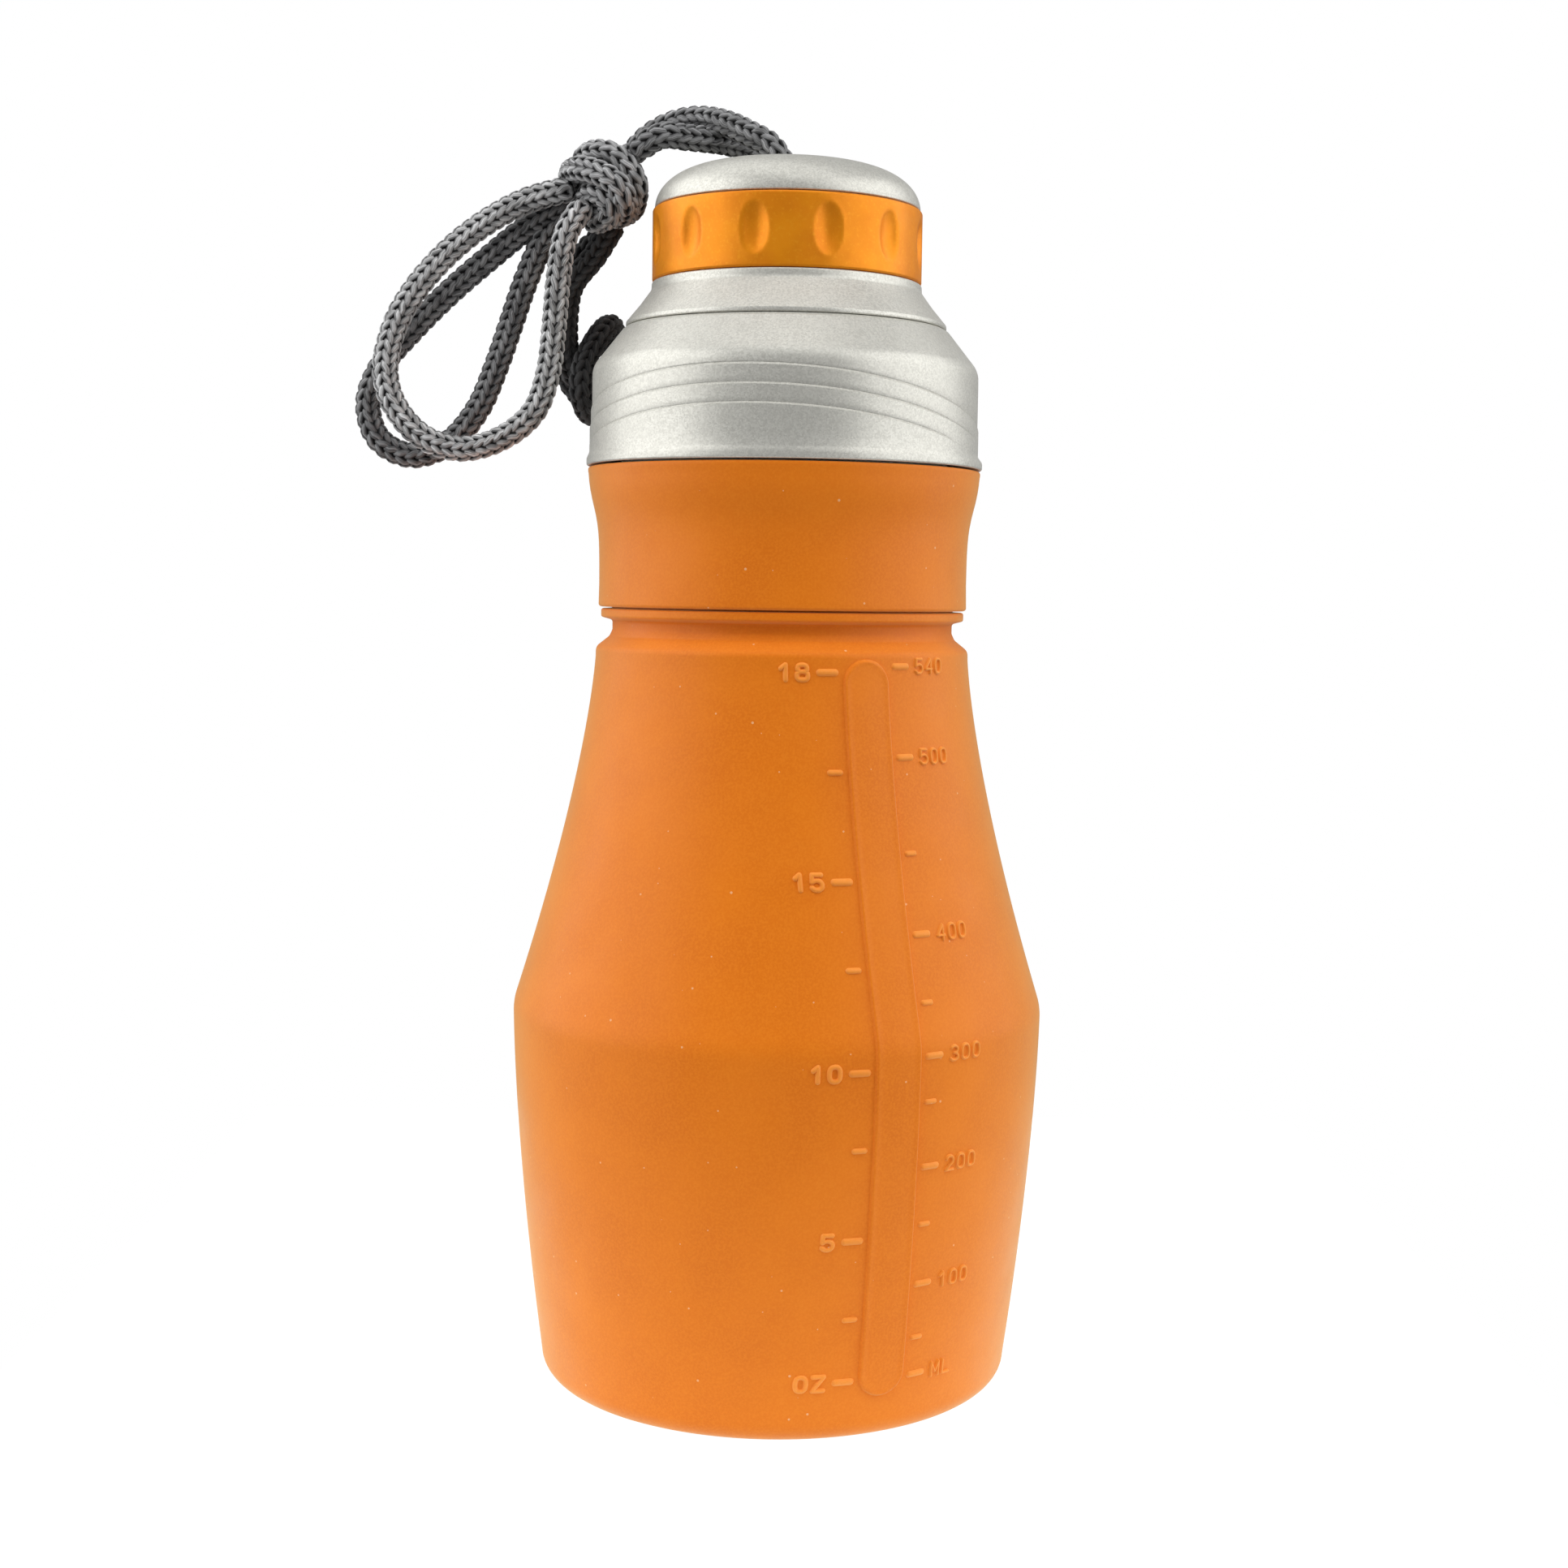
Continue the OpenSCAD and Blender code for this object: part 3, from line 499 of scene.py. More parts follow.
def make_studio():
    """White backdrop, a pale floor, and soft boxes on both sides with a darker gap between"""
    world = bpy.data.worlds.new("studio")
    bpy.context.scene.world = world
    world.use_nodes = True
    tree = world.node_tree
    tree.nodes.clear()
    out = tree.nodes.new("ShaderNodeOutputWorld")
    seen, lit = (tree.nodes.new("ShaderNodeBackground") for _ in range(2))
    seen.inputs["Color"].default_value = (1, 1, 1, 1)
    lit.inputs["Color"].default_value = (0.97, 0.98, 1, 1)
    lit.inputs["Strength"].default_value = 0.27
    path, mix = tree.nodes.new("ShaderNodeLightPath"), tree.nodes.new("ShaderNodeMixShader")
    tree.links.new(path.outputs["Is Camera Ray"], mix.inputs[0])
    tree.links.new(lit.outputs[0], mix.inputs[1])
    tree.links.new(seen.outputs[0], mix.inputs[2])
    tree.links.new(mix.outputs[0], out.inputs["Surface"])

    soft_box("left_box", (-0.62, -0.05, 0.36), (1.0, 0.85), 4.7)
    soft_box("right_box", (0.62, -0.1, 0.36), (1.0, 0.85), 4.0)
    soft_box("top_box", (-0.05, -0.05, 0.95), (1.4, 0.6), 1.9)
    soft_box("front_fill", (0, -0.5, 0.85), (0.8, 0.5), 2.6, glossy=False)

    floor_surface = bpy.data.materials.new("pale_floor")
    floor_surface.use_nodes = True
    tree = floor_surface.node_tree
    tree.nodes.clear()
    out, mix = tree.nodes.new("ShaderNodeOutputMaterial"), tree.nodes.new("ShaderNodeMixShader")
    glow, paint = tree.nodes.new("ShaderNodeEmission"), tree.nodes.new("ShaderNodeBsdfDiffuse")
    glow.inputs["Strength"].default_value = 1.13
    paint.inputs["Color"].default_value = (0.94, 0.94, 0.94, 1)
    mix.inputs[0].default_value = 0.1
    tree.links.new(glow.outputs[0], mix.inputs[1])
    tree.links.new(paint.outputs[0], mix.inputs[2])
    tree.links.new(mix.outputs[0], out.inputs["Surface"])
    mesh = bpy.data.meshes.new("floor")
    half, front, back = 0.13, -0.12, 0.18
    mesh.from_pydata([(-half, front, 0), (half, front, 0), (half, back, 0), (-half, back, 0)],
                     [], [(0, 1, 2, 3)])
    mesh.materials.append(floor_surface)
    floor = bpy.data.objects.new("floor", mesh)
    bpy.context.scene.collection.objects.link(floor)
    bpy.context.scene.view_settings.view_transform = "Standard"


# ---------------------------------------------------------------- lanyard

def knit(shell, line, wales=4, course=1.8):
    """One yarn knitted round and round into a cord whose stitches stand in columns of Vs"""
    lay_r, wave, sway, reach, per_stitch = 1.36, 0.42, 0.6, 1.4, 14
    fine = even(line, 0.3)
    _, side, up = carried(fine, np.array([0.0, 0.3, 1.0]))
    at = np.linspace(0, length_of(fine), len(fine))
    stitches = int(at[-1] / course * wales)
    t = np.arange(stitches * per_stitch) * 2 * math.pi / per_stitch
    turn = t / wales + sway / (lay_r + wave) * np.sin(2 * t)
    s = np.clip(course * t / (2 * math.pi * wales) + reach * np.cos(t), 0, at[-1])
    r = lay_r - wave * np.cos(2 * t)
    centre, side_s, up_s = ([np.interp(s, at, values[:, k]) for k in range(3)]
                            for values in (fine, side, up))
    centre, side_s, up_s = np.array(centre).T, unit(np.array(side_s).T), unit(np.array(up_s).T)
    out = np.cos(turn)[:, None] * side_s + np.sin(turn)[:, None] * up_s
    yarn = centre + r[:, None] * out
    ahead = unit(np.gradient(yarn, axis=0))
    top = unit(out - ahead * (out * ahead).sum(1, keepdims=True))
    shell.add(swept(yarn, np.cross(ahead, top), top, oval(YARN_W, YARN_T, 8)),
              uv_rows=np.arange(len(yarn) + 1) * 0.33)
    # The core is a near-black tube inside the stitches, painted shade that shows dark through the gaps
    # between them.
    core = even(line, 1.2)
    _, side, up = carried(core, np.array([0.0, 0.3, 1.0]))
    shell.add(swept(core, side, up, oval(CORE_D, CORE_D, 8)), paint=1)


def cord_piece(name, route, surfaces, *stood_for):
    """One run of the cord, and the line that it follows, in metres"""
    line = even(through(route), 0.5)
    shell = Shell()
    knit(shell, line)
    piece = shell.build(name, surfaces, sharp=180)
    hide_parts(*stood_for)
    return piece, (even(line, 1.2) * MM).tolist()


def make_lanyard():
    # Near-black core material: painted shade for the gaps between the stitches.
    core = cord_surface("cord_core_painted_shade", (0.006, 0.006, 0.006), (0.02, 0.02, 0.021))
    # Lit and shaded copies of one cord material, painted light and shade: the front loop is the lit
    # copy, the knot is slightly darker, the back loop and the leash are in painted half shade, and the
    # lid hitch is in painted deep shade. All runs are the same grey cord.
    pale = cord_surface("cord_knit", (0.006, 0.006, 0.0063), (1.0, 1.0, 1.0))
    knot = cord_surface("cord_knit_painted_knot_shade", (0.005, 0.005, 0.0052), (0.80, 0.80, 0.805))
    knit_painted_half_shade = cord_surface("cord_knit_painted_half_shade", (0.005, 0.005, 0.0052), (0.48, 0.48, 0.485))
    dark = cord_surface("cord_knit_shaded", (0.004, 0.004, 0.0042), (0.09, 0.09, 0.091))
    runs = [("lanyard_hand_loop_front", FRONT_LOOP, pale, "cord_hand_loop_front"),
            ("lanyard_hand_loop_back", BACK_LOOP, knit_painted_half_shade, "cord_hand_loop_back"),
            ("lanyard_lid_hitch", LID_HITCH, dark, "cord_lid_hitch"),
            ("lanyard_cap_leash", CAP_LEASH, knit_painted_half_shade, "cord_cap_leash"),
            ("lanyard_knot", KNOT, knot, "cord_knot")]
    for name, route, surface, node in runs:
        piece, path = cord_piece(name, route, (surface, core), node)
        if name == "lanyard_cap_leash":
            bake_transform(piece)
        else:
            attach(piece, "lid")


# ---------------------------------------------------------------- silicone body

def on_wall(u, z, height):
    """Points over the silicone wall, u being measured round it from the strip's middle"""
    r = body_r(z)
    turn = STRIP_TURN + u / r
    return np.stack([(r + height) * np.sin(turn), -(r + height) * np.cos(turn), z + 0 * u], -1)


def add_stroke(shell, line, width, height, closed=False):
    """Raised stroke with soft sides along a line of (u, z) points on the wall"""
    line = np.array(line, float)
    lateral = np.array([-1.3, -1.05, -0.8, -0.45, 0, 0.45, 0.8, 1.05, 1.3, 0])
    reach = np.array([0, 0.45, 0.8, 1.05, 1.3])
    rise = np.array([1, 0.94, 0.62, 0.12, -0.2])
    if closed:
        ahead = np.roll(line, -1, 0) - np.roll(line, 1, 0)
        forward = np.zeros(len(line))
        squeeze = np.ones(len(line))
        centre = line
    else:
        ahead = np.gradient(line, axis=0)
        turn = np.radians([82, 65, 45, 22])
        zeros = np.zeros(len(line))
        forward = np.concatenate([-1.3 * np.sin(turn), zeros, 1.3 * np.sin(turn[::-1])])
        squeeze = np.concatenate([np.cos(turn), zeros + 1, np.cos(turn[::-1])])
        ahead = np.vstack([ahead[:1]] * 4 + [ahead] + [ahead[-1:]] * 4)
        centre = np.vstack([line[:1]] * 4 + [line] + [line[-1:]] * 4)
    ahead = unit(ahead)
    across = np.stack([-ahead[:, 1], ahead[:, 0]], -1)
    side = lateral[None] * squeeze[:, None]
    flat = (centre[:, None] + side[..., None] * across[:, None] * width / 2
            + (forward * width / 2)[:, None, None] * ahead[:, None])
    tall = np.interp(np.hypot(side, forward[:, None]), reach, rise) * height
    tall[:, -1] = -0.2 * height
    # paint=1 gives each mark the lighter silicone copy, a painted highlight.
    shell.add(on_wall(flat[..., 0], flat[..., 1], tall), wrap_rows=closed, paint=1)


def bow(cx, cy, rx, ry, start, end, count=14):
    a = np.radians(np.linspace(start, end, count))
    return [(cx + rx * math.cos(t), cy + ry * math.sin(t)) for t in a]


def loop(cx, cy, rx, ry, count=28, power=2.6):
    section = oval(2 * rx, 2 * ry, count, power)
    return [(cx + x, cy + y) for x, y in section]


def glyph(mark):
    """Strokes of one moulded figure in a unit box, as (points, closed)"""
    lines = {
        "0": [(loop(0.5, 0.5, 0.5, 0.5), True)],
        "O": [(loop(0.5, 0.5, 0.5, 0.5), True)],
        "1": [([(0.16, 0.76), (0.58, 1)], False), ([(0.58, 1), (0.58, 0)], False)],
        "2": [(bow(0.5, 0.7, 0.47, 0.3, 165, -35) + [(0, 0.02)], False),
              ([(0, 0), (1, 0)], False)],
        "3": [(bow(0.48, 0.76, 0.44, 0.24, 150, -90), False),
              (bow(0.48, 0.26, 0.5, 0.26, 90, -150), False)],
        "4": [([(0.74, 0), (0.74, 1)], False), ([(0.74, 1), (0, 0.3)], False),
              ([(0, 0.3), (1, 0.3)], False)],
        "5": [([(0.92, 1), (0.1, 1)], False), ([(0.1, 1), (0.05, 0.52)], False),
              (bow(0.47, 0.32, 0.52, 0.32, 140, -150), False)],
        "8": [(loop(0.5, 0.77, 0.42, 0.23), True), (loop(0.5, 0.27, 0.5, 0.27), True)],
        "Z": [([(0, 1), (1, 1)], False), ([(1, 1), (0, 0)], False), ([(0, 0), (1, 0)], False)],
        "M": [([(0, 0), (0, 1)], False), ([(0, 1), (0.5, 0.3)], False),
              ([(0.5, 0.3), (1, 1)], False), ([(1, 1), (1, 0)], False)],
        "L": [([(0, 1), (0, 0)], False), ([(0, 0), (1, 0)], False)],
    }
    return lines[mark]


def add_figures(shell, text, u, z, width, height, gap, stroke):
    """Raised figures centred on height z, the first starting at u"""
    for i, mark in enumerate(text):
        left = u + i * (width + gap) + stroke / 2
        for points, closed in glyph(mark):
            line = np.array([(left + x * (width - stroke), z + (y - 0.5) * (height - stroke))
                             for x, y in points])
            if len(line) == 2:
                line = line[0] + np.linspace(0, 1, 6)[:, None] * (line[1] - line[0])
            add_stroke(shell, line, stroke, 0.36, closed)


def add_scale(shell):
    """Marks and figures on both sides of the strip: fluid ounces on the left, millilitres right"""
    mark_u = 5.2
    ounces = [("18", 120.3), ("", 104.9), ("15", 88.3), ("", 75.1), ("10", 59.9), ("", 47.7),
              ("5", 33.3), ("", 20.5), ("OZ", 10.2)]
    for text, z in ounces:
        line = [(-mark_u - k * (0.62 if text else 0.42), z) for k in range(5)]
        add_stroke(shell, line, 1.0 if text else 0.8, 0.38)
        if text:
            width, gap = 2.4, 0.35
            start = -9.2 - len(text) * width - (len(text) - 1) * gap
            add_figures(shell, text, start, z, width, height=3.0, gap=gap, stroke=0.72)
    millilitres = [("540", 121.2), ("500", 107.0), ("", 92.2), ("400", 79.9), ("", 69.7),
                   ("300", 61.7), ("", 54.5), ("200", 44.1), ("", 34.8), ("100", 25.0),
                   ("", 16.1), ("ML", 9.9)]
    for text, z in millilitres:
        line = [(mark_u + k * (0.62 if text else 0.38), z) for k in range(5)]
        add_stroke(shell, line, 0.95 if text else 0.75, 0.36)
        if text:
            add_figures(shell, text, 9.4, z, width=1.95, height=2.7, gap=0.42, stroke=0.46)


def add_strip(shell):
    """Raised measuring strip with round ends and a soft edge"""
    half = STRIP_W / 2
    turn = np.radians(np.linspace(4, 90, 22))
    low = STRIP_LOW + half * (1 - np.cos(turn))
    high = STRIP_HIGH - half * (1 - np.cos(turn[::-1]))
    straight = np.concatenate([np.arange(low[-1] + 1.5, WAIST_Z - 5, 1.5),
                               np.arange(WAIST_Z - 4.5, WAIST_Z + 4.5, 0.5),
                               np.arange(WAIST_Z + 5, high[0] - 0.8, 1.5)])
    z = np.concatenate([low, straight, high])
    end = np.maximum(np.maximum(STRIP_LOW + half - z, z - STRIP_HIGH + half), 0)
    wide = np.sqrt(half ** 2 - np.minimum(end, half * 0.9999) ** 2)
    edge = np.array([0, 0.08, 0.16, 0.26, 0.38, 0.52, 0.8, 1.6])
    share = np.concatenate([-1 + edge / half, [-0.3, 0, 0.3], (1 - edge / half)[::-1]])
    u = wide[:, None] * share
    inset = half - np.hypot(u, end[:, None])
    tall = STRIP_T * smooth(inset / 0.36)
    tall += 0.1 * np.exp(-((inset - 0.5) / 0.2) ** 2) - 0.07 * (inset < 0.02)
    under = np.full((len(z), 1), -0.12)
    u = np.hstack([u, np.zeros((len(z), 1))])
    tall = np.hstack([tall, under])
    shell.add(on_wall(u, z[:, None] + 0 * u, tall))


def make_body(surface):
    """The whole silicone moulding: base, barrel, folding cone, shoulder and sleeve"""
    edge_r = float(body_r(BASE_ROUND)) - BASE_ROUND
    wall_z = np.concatenate([np.arange(BASE_ROUND + 1.2, 58, 1.8), np.arange(58, 68.4, 0.4),
                             np.arange(69.2, 121.4, 1.6)])
    wall = np.stack([body_r(wall_z), wall_z], -1)
    base = rounded([(2, BASE_DISH, 0), (edge_r - 9, BASE_DISH, 1), (edge_r - 7.6, 0, 1),
                    (edge_r, 0, 0)], closed=False, count=4)
    bend = np.radians(np.linspace(-80, -3, 9))
    corner = np.stack([edge_r + BASE_ROUND * np.cos(bend),
                       BASE_ROUND * (1 + np.sin(bend))], -1)
    top_r = float(body_r(121.6))
    neck = rounded([(top_r, 121.6, 0), (31.25, 123.1, 1.5), (29.0, 124.9, 1.2),
                    (GROOVE_R, 126.0, 0.9), (GROOVE_R, 127.6, 0.55),
                    (BEAD_R, BEAD_LOW_Z, 0.4), (BEAD_R, BEAD_TOP_Z, 0.4),
                    (SLEEVE_R + SLEEVE_T, BEAD_TOP_Z + 0.1, 0),
                    (SLEEVE_R + SLEEVE_T, SLEEVE_TOP_Z, 0.3),
                    (SLEEVE_R, SLEEVE_TOP_Z, 0.3), (SLEEVE_R, GROOVE_Z + 0.4, 0.6),
                    (28.9, 122.4, 2), (float(body_r(119)) - WALL, 119, 0)], closed=False)
    inner_z = np.concatenate([np.arange(117, 68, -2.5), np.arange(67, 59, -1.0),
                              np.arange(57.5, FLOOR + 4, -3.0)])
    inner = np.stack([body_r(inner_z) - WALL, inner_z], -1)
    foot = rounded([(float(body_r(FLOOR + 4)) - WALL, FLOOR + 4, 0),
                    (float(body_r(FLOOR)) - WALL - 0.4, FLOOR, 3.2), (2, FLOOR, 0)],
                   closed=False, count=6)
    shell = Shell()
    shell.add(lathe(np.vstack([base[:-1], corner, wall, neck, inner, foot]), 160))
    add_strip(shell)
    add_scale(shell)
    piece = shell.build("body_skin", surface, sharp=50)
    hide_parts("body_barrel", "body_cone", "body_neck")
    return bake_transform(piece)


# ---------------------------------------------------------------- turned pieces

def make_cuff(surface):
    inner = SLEEVE_R + SLEEVE_T
    side_z = np.linspace(CUFF_Z + 4, CUFF_TOP_Z - 0.9, 14)
    flare = CUFF_FLARE / (1 + np.exp((CUFF_BEND_Z - side_z) / CUFF_BEND))
    side = np.stack([CUFF_WAIST_R + flare, side_z], -1)
    low = rounded([(inner, CUFF_Z, 0), (CUFF_WAIST_R + 0.1, CUFF_Z, 0.5),
                   (CUFF_WAIST_R + 0.07, CUFF_Z + 1.2, 0)], closed=False, count=6)
    high = rounded([(32.7, 152.1, 0), (32.72, CUFF_TOP_Z, 0.35), (FLANGE_R - 1.4, CUFF_TOP_Z, 0.2),
                    (FLANGE_R - 1.4, FLANGE_Z + FLANGE_T, 0), (FLANGE_R, FLANGE_Z + FLANGE_T, 0),
                    (FLANGE_R, FLANGE_Z, 0), (inner, FLANGE_Z, 0)], closed=False)
    shell = Shell()
    shell.add(lathe(np.vstack([low, side, high]), 160), wrap_rows=True)
    return shell.build("grip_cuff_skin", surface)


def make_neck_frame(surface):
    outline = rounded([(MOUTH_R, GROOVE_Z, 0.3), (SLEEVE_R, GROOVE_Z, 0.3), (SLEEVE_R, FLANGE_Z, 0),
                       (FLANGE_R, FLANGE_Z, 0.2), (FLANGE_R, FLANGE_Z + FLANGE_T, 0.2),
                       (THREAD_ROOT_R, FLANGE_Z + FLANGE_T, 0.5), (THREAD_ROOT_R, MOUTH_Z, 0.7),
                       (MOUTH_R, MOUTH_Z, 0.7)])
    shell = Shell()
    shell.add(lathe(outline, 128), wrap_rows=True)
    thread(shell, THREAD_ROOT_R, THREAD_ROOT_R + THREAD_H, 2.1, 0.8, MOUTH_Z - 8.4, 1.25)
    return shell.build("neck_frame_skin", surface)


def lid_wall():
    """Rows of the lid's outer wall, which follow its three tilted lines round the bottle"""
    turn = np.arange(LID_COLUMNS) * 2 * math.pi / LID_COLUMNS
    swing = 1 - np.cos(turn - LINE_TURN)
    lines, steps = [], []
    for i in range(3):
        true_z = LINE_TOP_Z - LINE_GAP * i - LINE_DROP * swing
        lowest = 155.5 + 0.9 * (2 - i)
        lines.append(lowest + np.logaddexp(0, (true_z - lowest) / 0.5) * 0.5)
        steps.append(LINE_STEP * smooth((true_z - lowest) / 2.5))
    rows = [0 * turn + z for z in (LID_LIP_TOP_Z, 154.0, 154.3, 154.6, 154.85, 155.1)]
    near = np.array([-0.34, -0.2, -0.11, -0.04, 0.03, 0.1, 0.2, 0.34])
    previous = rows[-1]
    for i in (2, 1, 0):
        first = lines[i] + near[0]
        rows += [previous + (first - previous) * k for k in (0.34, 0.67)]
        rows += [lines[i] + d for d in near]
        previous = rows[-1]
    rows += [previous + (167.9 - previous) * k for k in (0.3, 0.6, 0.85)]
    z = np.array(rows)
    r = LID_R + 0 * z
    for line, step in zip(lines, steps):
        away = z - line
        r += step * smooth((0.12 - away) / 0.24)
        r -= 0.35 * step * np.exp(-((away - 0.2) / 0.1) ** 2)
    lip = smooth((155.4 - z) / 1.3)
    r += (LID_LIP_R - r) * lip
    return np.stack([r * np.sin(turn), -r * np.cos(turn), z], -1)


def add_bar(shell):
    """Lanyard bar at the back of the lid, one rounded bar bent into a handle"""
    low, high = BAR_LOW_Z + 1.25, BAR_HIGH_Z - 1.25
    line = rounded([(30.5, low, 0), (BAR_R, low, 2), (BAR_R, high, 2), (27.0, high, 0)],
                   closed=False, count=8)
    line = np.stack([0 * line[:, 0], -line[:, 0], line[:, 1]], -1)
    line = even(line, 0.45)
    along = unit(np.gradient(line, axis=0))
    side = np.tile([1.0, 0, 0], (len(line), 1))
    grid = swept(line, side, np.cross(along, side), oval(BAR_W, BAR_T, 20, 4))
    c, s = math.cos(BAR_TURN), math.sin(BAR_TURN)
    shell.add(grid @ np.array([[c, s, 0], [-s, c, 0], [0, 0, 1]]))


def make_lid(surface):
    foot = rounded([(LID_BORE_R, LID_LOW_Z, 0.3), (LID_LIP_R, LID_LOW_Z, 0.45),
                    (LID_LIP_R, LID_LIP_TOP_Z, 0)],
                   closed=False, count=5)
    foot = np.vstack([[LID_BORE_R, LID_LOW_Z + 0.4], foot[1:-1]])
    bend = np.radians(np.linspace(6, 41, 9))
    corner = np.stack([LID_R - 4 + 4 * np.cos(bend), 167.8 + 4 * np.sin(bend)], -1)
    top = rounded([tuple(corner[-1]) + (0,), (27.15, 175.45, 0.4), (26.45, LID_TOP_Z, 0.4),
                   (PLUG_R + 0.05, LID_TOP_Z, 0.2), (PLUG_R + 0.05, LID_CEILING_Z, 0),
                   (LID_BORE_R, LID_CEILING_Z, 1.2), (LID_BORE_R, LID_LOW_Z + 1, 0)], closed=False)
    shell = Shell()
    shell.add(np.concatenate([lathe(foot, LID_COLUMNS), lid_wall(), lathe(corner, LID_COLUMNS),
                              lathe(top[1:], LID_COLUMNS)]), wrap_rows=True)
    thread(shell, LID_BORE_R, LID_BORE_R - THREAD_H, 2.1, 0.8, MOUTH_Z - 10.2, 1.1)
    add_bar(shell)
    return shell.build("shoulder_lid_skin", surface, sharp=30)


def make_collar(surface):
    outline = rounded([(PLUG_R - 2.4, PLUG_LOW_Z - 0.4, 0.3), (PLUG_R + 0.3, PLUG_LOW_Z - 0.4, 0.2),
                       (PLUG_R, PLUG_LOW_Z + 0.4, 0), (PLUG_R, PLUG_GROOVE_LOW_Z, 0.1),
                       (PLUG_R - PLUG_GROOVE_T, PLUG_GROOVE_LOW_Z, 0.2),
                       (PLUG_R - PLUG_GROOVE_T, PLUG_GROOVE_TOP_Z, 0.2),
                       (PLUG_R, PLUG_GROOVE_TOP_Z, 0.1),
                       (PLUG_R, COLLAR_LOW_Z - 0.1, 0),
                       (26.65, COLLAR_LOW_Z - 0.1, 0.25),
                       (26.6, 176.7, 0.4), (24.35, 179.4, 5), (22.45, 182.0, 1.2),
                       (22.4, COLLAR_LIP_Z, 0.35), (SPOUT_ROOT_R, COLLAR_LIP_Z, 0.6),
                       (SPOUT_ROOT_R, SPOUT_Z, 1.0), (SPOUT_R, SPOUT_Z, 0.7),
                       (SPOUT_R, COLLAR_LIP_Z - 2, 0.8), (20.6, COLLAR_LIP_Z - 2, 1),
                       (PLUG_R - 2.4, 177.5, 1)])
    shell = Shell()
    shell.add(lathe(outline, 192), wrap_rows=True)
    thread(shell, SPOUT_ROOT_R, SPOUT_ROOT_R + THREAD_H, 2.1, 0.8, SPOUT_Z - 7.4, 1.25)
    return shell.build("spout_collar_skin", surface, sharp=30)


def make_cap(surface):
    rise = np.radians(np.linspace(3, 86, 30))
    dome_z = DOME_LOW_Z + (CAP_TOP_Z - DOME_LOW_Z) * np.sin(rise)
    dome = np.stack([dome_r(dome_z), dome_z], -1)
    seat = rounded([(CAP_BORE_R, CAP_LOW_Z, 0.3), (BAND_SEAT_R, CAP_LOW_Z, 0.3),
                    (BAND_SEAT_R, DOME_LOW_Z, 0), (DOME_R, DOME_LOW_Z, 0.3),
                    (DOME_R, DOME_LOW_Z + 0.5, 0)], closed=False)
    dome = dome[dome[:, 1] > DOME_LOW_Z + 0.5]
    crown = rounded([(dome[-1, 0], CAP_TOP_Z - 0.02, 0), (RECESS_R, CAP_TOP_Z - 0.05, 0.8),
                     (RECESS_R - 0.9, RECESS_FLOOR_Z, 0.6), (POST_R + 0.05, RECESS_FLOOR_Z, 0),
                     (POST_R + 0.05, RECESS_FLOOR_Z - RECESS_FLOOR_T, 0),
                     (RECESS_R + 0.4, RECESS_FLOOR_Z - RECESS_FLOOR_T, 0.4),
                     (RECESS_R + 0.8, CAP_CEILING_Z, 0.4), (CAP_BORE_R, CAP_CEILING_Z, 0.6),
                     (CAP_BORE_R, CAP_LOW_Z + 1, 0)], closed=False)
    shell = Shell()
    shell.add(lathe(np.vstack([seat[:-1], dome, crown[1:]]), 192), wrap_rows=True)
    thread(shell, CAP_BORE_R, CAP_BORE_R - THREAD_H, 2.1, 0.8, SPOUT_Z - 9.2, 1.1)
    return shell.build("cap_shell_skin", surface, sharp=30)


def make_band(surface):
    """Grip band with a row of oval finger dimples"""
    columns = 288
    low, high = CAP_LOW_Z - 0.2, BAND_TOP_Z
    foot = rounded([(BAND_SEAT_R, low, 0.1), (BAND_R, low, 0.45), (BAND_R, low + 1.2, 0)],
                   closed=False)
    head = rounded([(BAND_R, high - 1.2, 0), (BAND_R, high, 0.45), (BAND_SEAT_R, high, 0.1)],
                   closed=False)
    foot[0], head[-1] = [BAND_SEAT_R, low + 0.1], [BAND_SEAT_R, high - 0.1]
    z = np.linspace(low + 1.2, high - 1.2, 30)[1:-1]
    outline = np.vstack([foot, np.stack([BAND_R + 0 * z, z], -1), head])
    turn = np.arange(columns) * 2 * math.pi / columns
    r, z = outline[:, 0:1] + 0 * turn, outline[:, 1:2] + 0 * turn
    part = 2 * math.pi / DIMPLES
    across = ((turn - DIMPLE_TURN) % part - part / 2) * BAND_R
    away = np.hypot(across / DIMPLE_HALF_W, (z - DIMPLE_Z) / DIMPLE_HALF_H)
    hollow = DIMPLE_T * np.where(away < 1, 1 - away ** 2, 0)
    rim = 0.05 * np.exp(-((away - 1.08) / 0.12) ** 2)
    r = np.where(r > BAND_R - 0.01, r - hollow + rim, r)
    shell = Shell()
    shell.add(np.stack([r * np.sin(turn), -r * np.cos(turn), z], -1), wrap_rows=True)
    return shell.build("cap_grip_band_skin", surface)


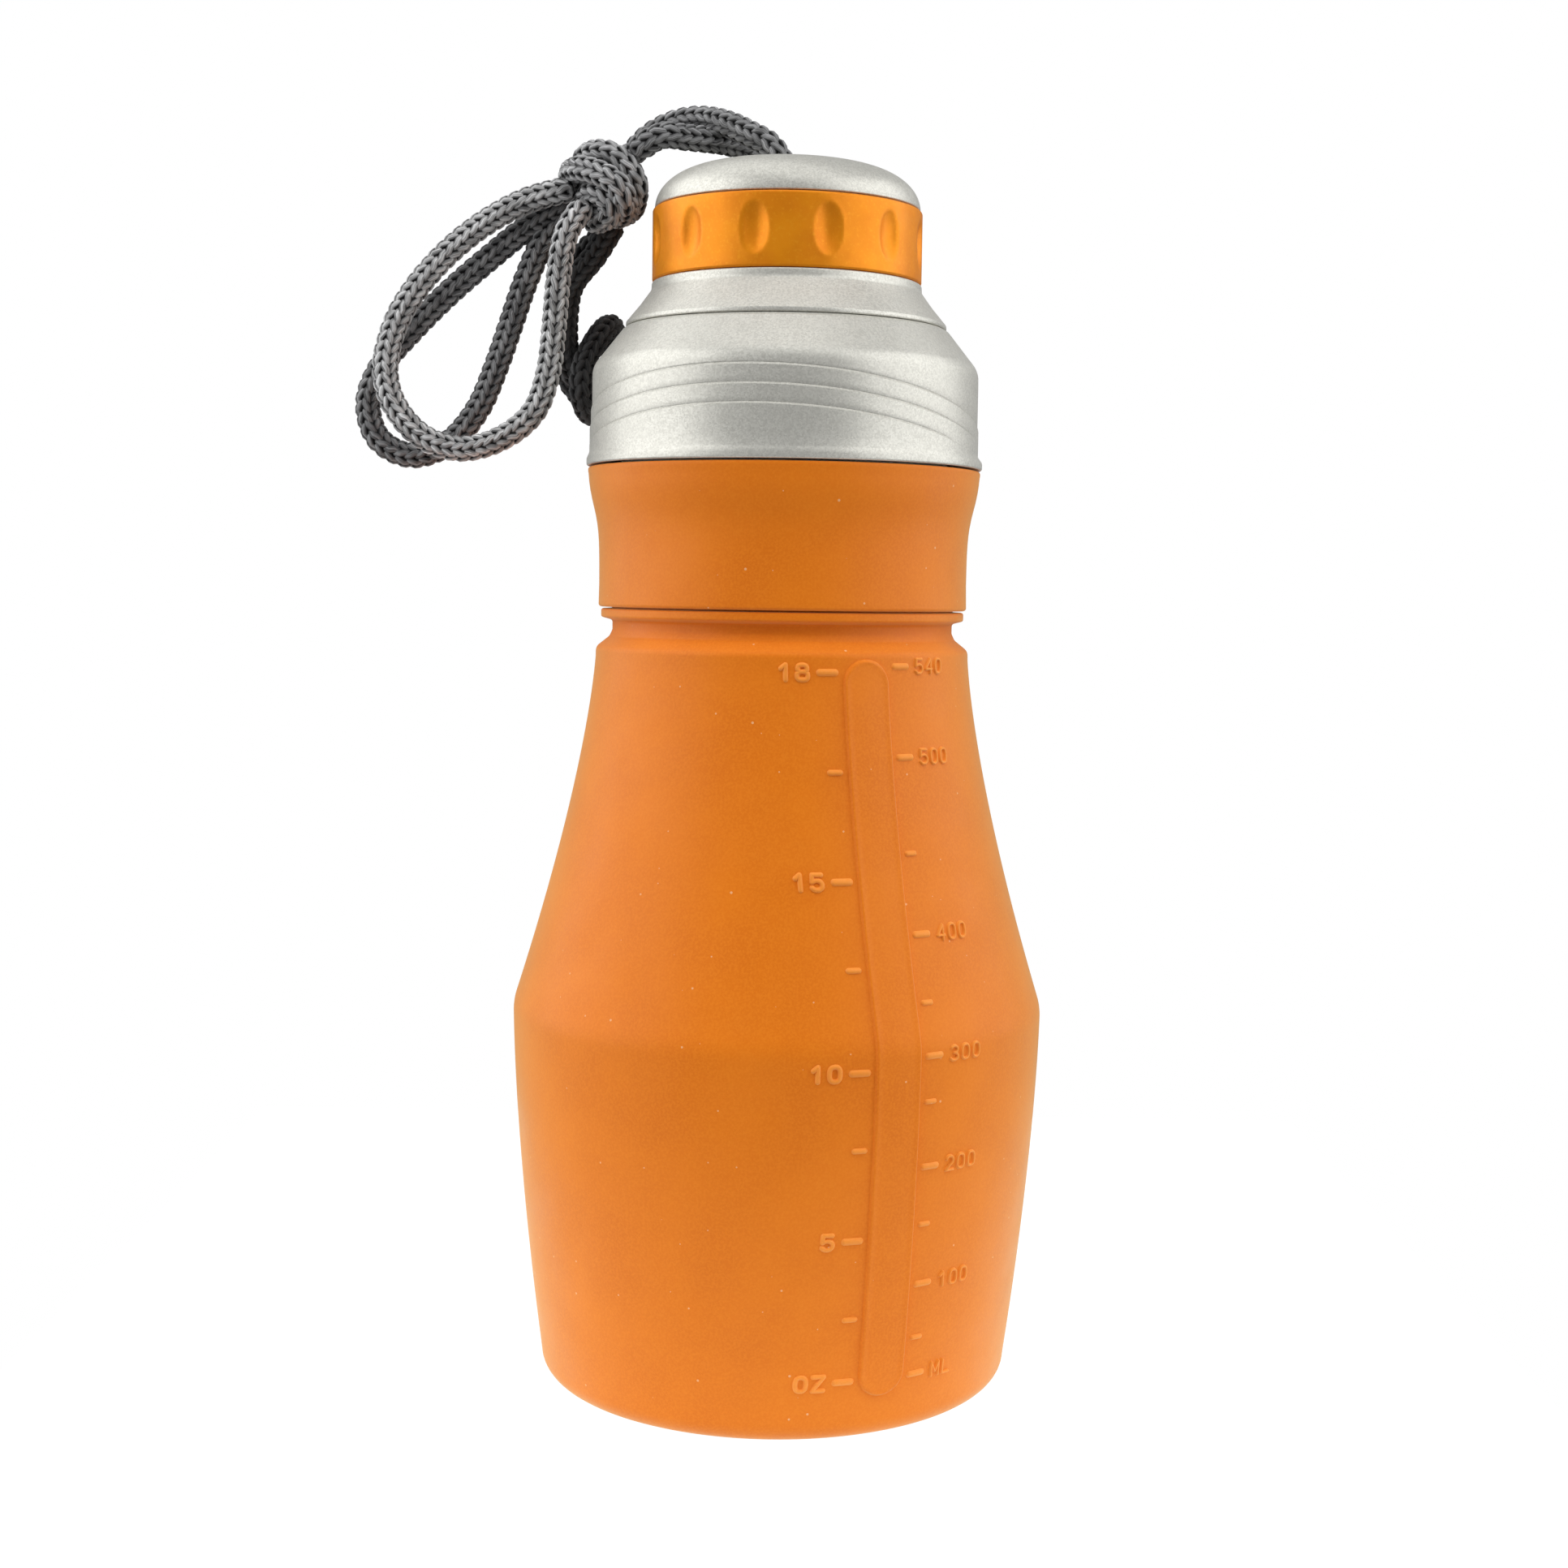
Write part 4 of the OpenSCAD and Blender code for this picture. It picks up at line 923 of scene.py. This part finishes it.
def make_swivel(surface):
    """Disc, post and bail that the leash loops through"""
    disc_z = RECESS_FLOOR_Z + 0.1
    shell = Shell()
    shell.add(lathe(rounded([(0.4, disc_z, 0), (SWIVEL_R, disc_z, 0.2), (SWIVEL_R, disc_z + 1, 0.3),
                             (0.4, disc_z + 1, 0)], closed=False), 64))
    shell.add(lathe(rounded([(0.3, POST_LOW_Z, 0), (POST_R, POST_LOW_Z, 0.3), (POST_R, disc_z + 0.4, 0),
                             (0.3, disc_z + 0.4, 0)], closed=False), 40))
    line = rounded([(-BAIL_HALF, disc_z + 0.3, 0), (-BAIL_HALF, BAIL_Z, 1.7),
                    (BAIL_HALF, BAIL_Z, 1.7), (BAIL_HALF, disc_z + 0.3, 0)], closed=False, count=9)
    line = even(np.stack([line[:, 0], 0 * line[:, 0], line[:, 1]], -1), 0.3)
    along = unit(np.gradient(line, axis=0))
    side = np.tile([0, 1.0, 0], (len(line), 1))
    shell.add(swept(line, side, np.cross(along, side), oval(2 * BAIL_R, 2 * BAIL_R, 16)))
    return shell.build("leash_swivel_skin", surface)


def place(piece, body, node, slot):
    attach(piece, body)
    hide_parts(node)


# ---------------------------------------------------------------- the scene

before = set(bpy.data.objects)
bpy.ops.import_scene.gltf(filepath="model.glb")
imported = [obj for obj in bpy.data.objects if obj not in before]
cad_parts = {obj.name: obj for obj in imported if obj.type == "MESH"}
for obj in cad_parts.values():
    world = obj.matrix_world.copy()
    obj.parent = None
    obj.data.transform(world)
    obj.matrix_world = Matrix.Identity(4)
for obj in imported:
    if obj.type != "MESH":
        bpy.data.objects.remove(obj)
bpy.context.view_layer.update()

make_camera()
make_lanyard()
make_studio()

silicone = silicone_surface("silicone", (0.77, 0.172, 0.002), (0.83, 0.197, 0.003))
# A lighter copy of the silicone for the raised marks and figures: painted highlight where they catch
# the light.
marks_painted_highlight = silicone_surface("silicone_painted_highlight", (0.90, 0.28, 0.035), (0.94, 0.31, 0.045))
silver = silver_surface()
natural, seal, steel = natural_surface(), seal_surface(), steel_surface()
make_body((silicone, marks_painted_highlight))
place(make_cuff(silicone), "neck", "grip_cuff", "silicone_body")
place(make_neck_frame(natural), "neck", "neck_frame", "neck_plastic")
place(make_lid(silver), "lid", "shoulder_lid", "silver_plastic")
place(make_collar(silver), "lid", "spout_collar", "silver_plastic")
place(make_cap(silver), "cap", "cap_shell", "silver_plastic")
place(make_band(amber_surface()), "cap", "cap_grip_band", "amber_grip")
place(make_swivel(steel), "swivel", "leash_swivel", "swivel_steel")

# The sealed rings and the washer keep their CAD shapes
for node, surface in (("lid_gasket", seal), ("spout_oring", seal), ("cap_liner", seal),
                      ("swivel_retainer", steel)):
    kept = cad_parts[node]
    kept.data.materials.clear()
    kept.data.materials.append(surface)
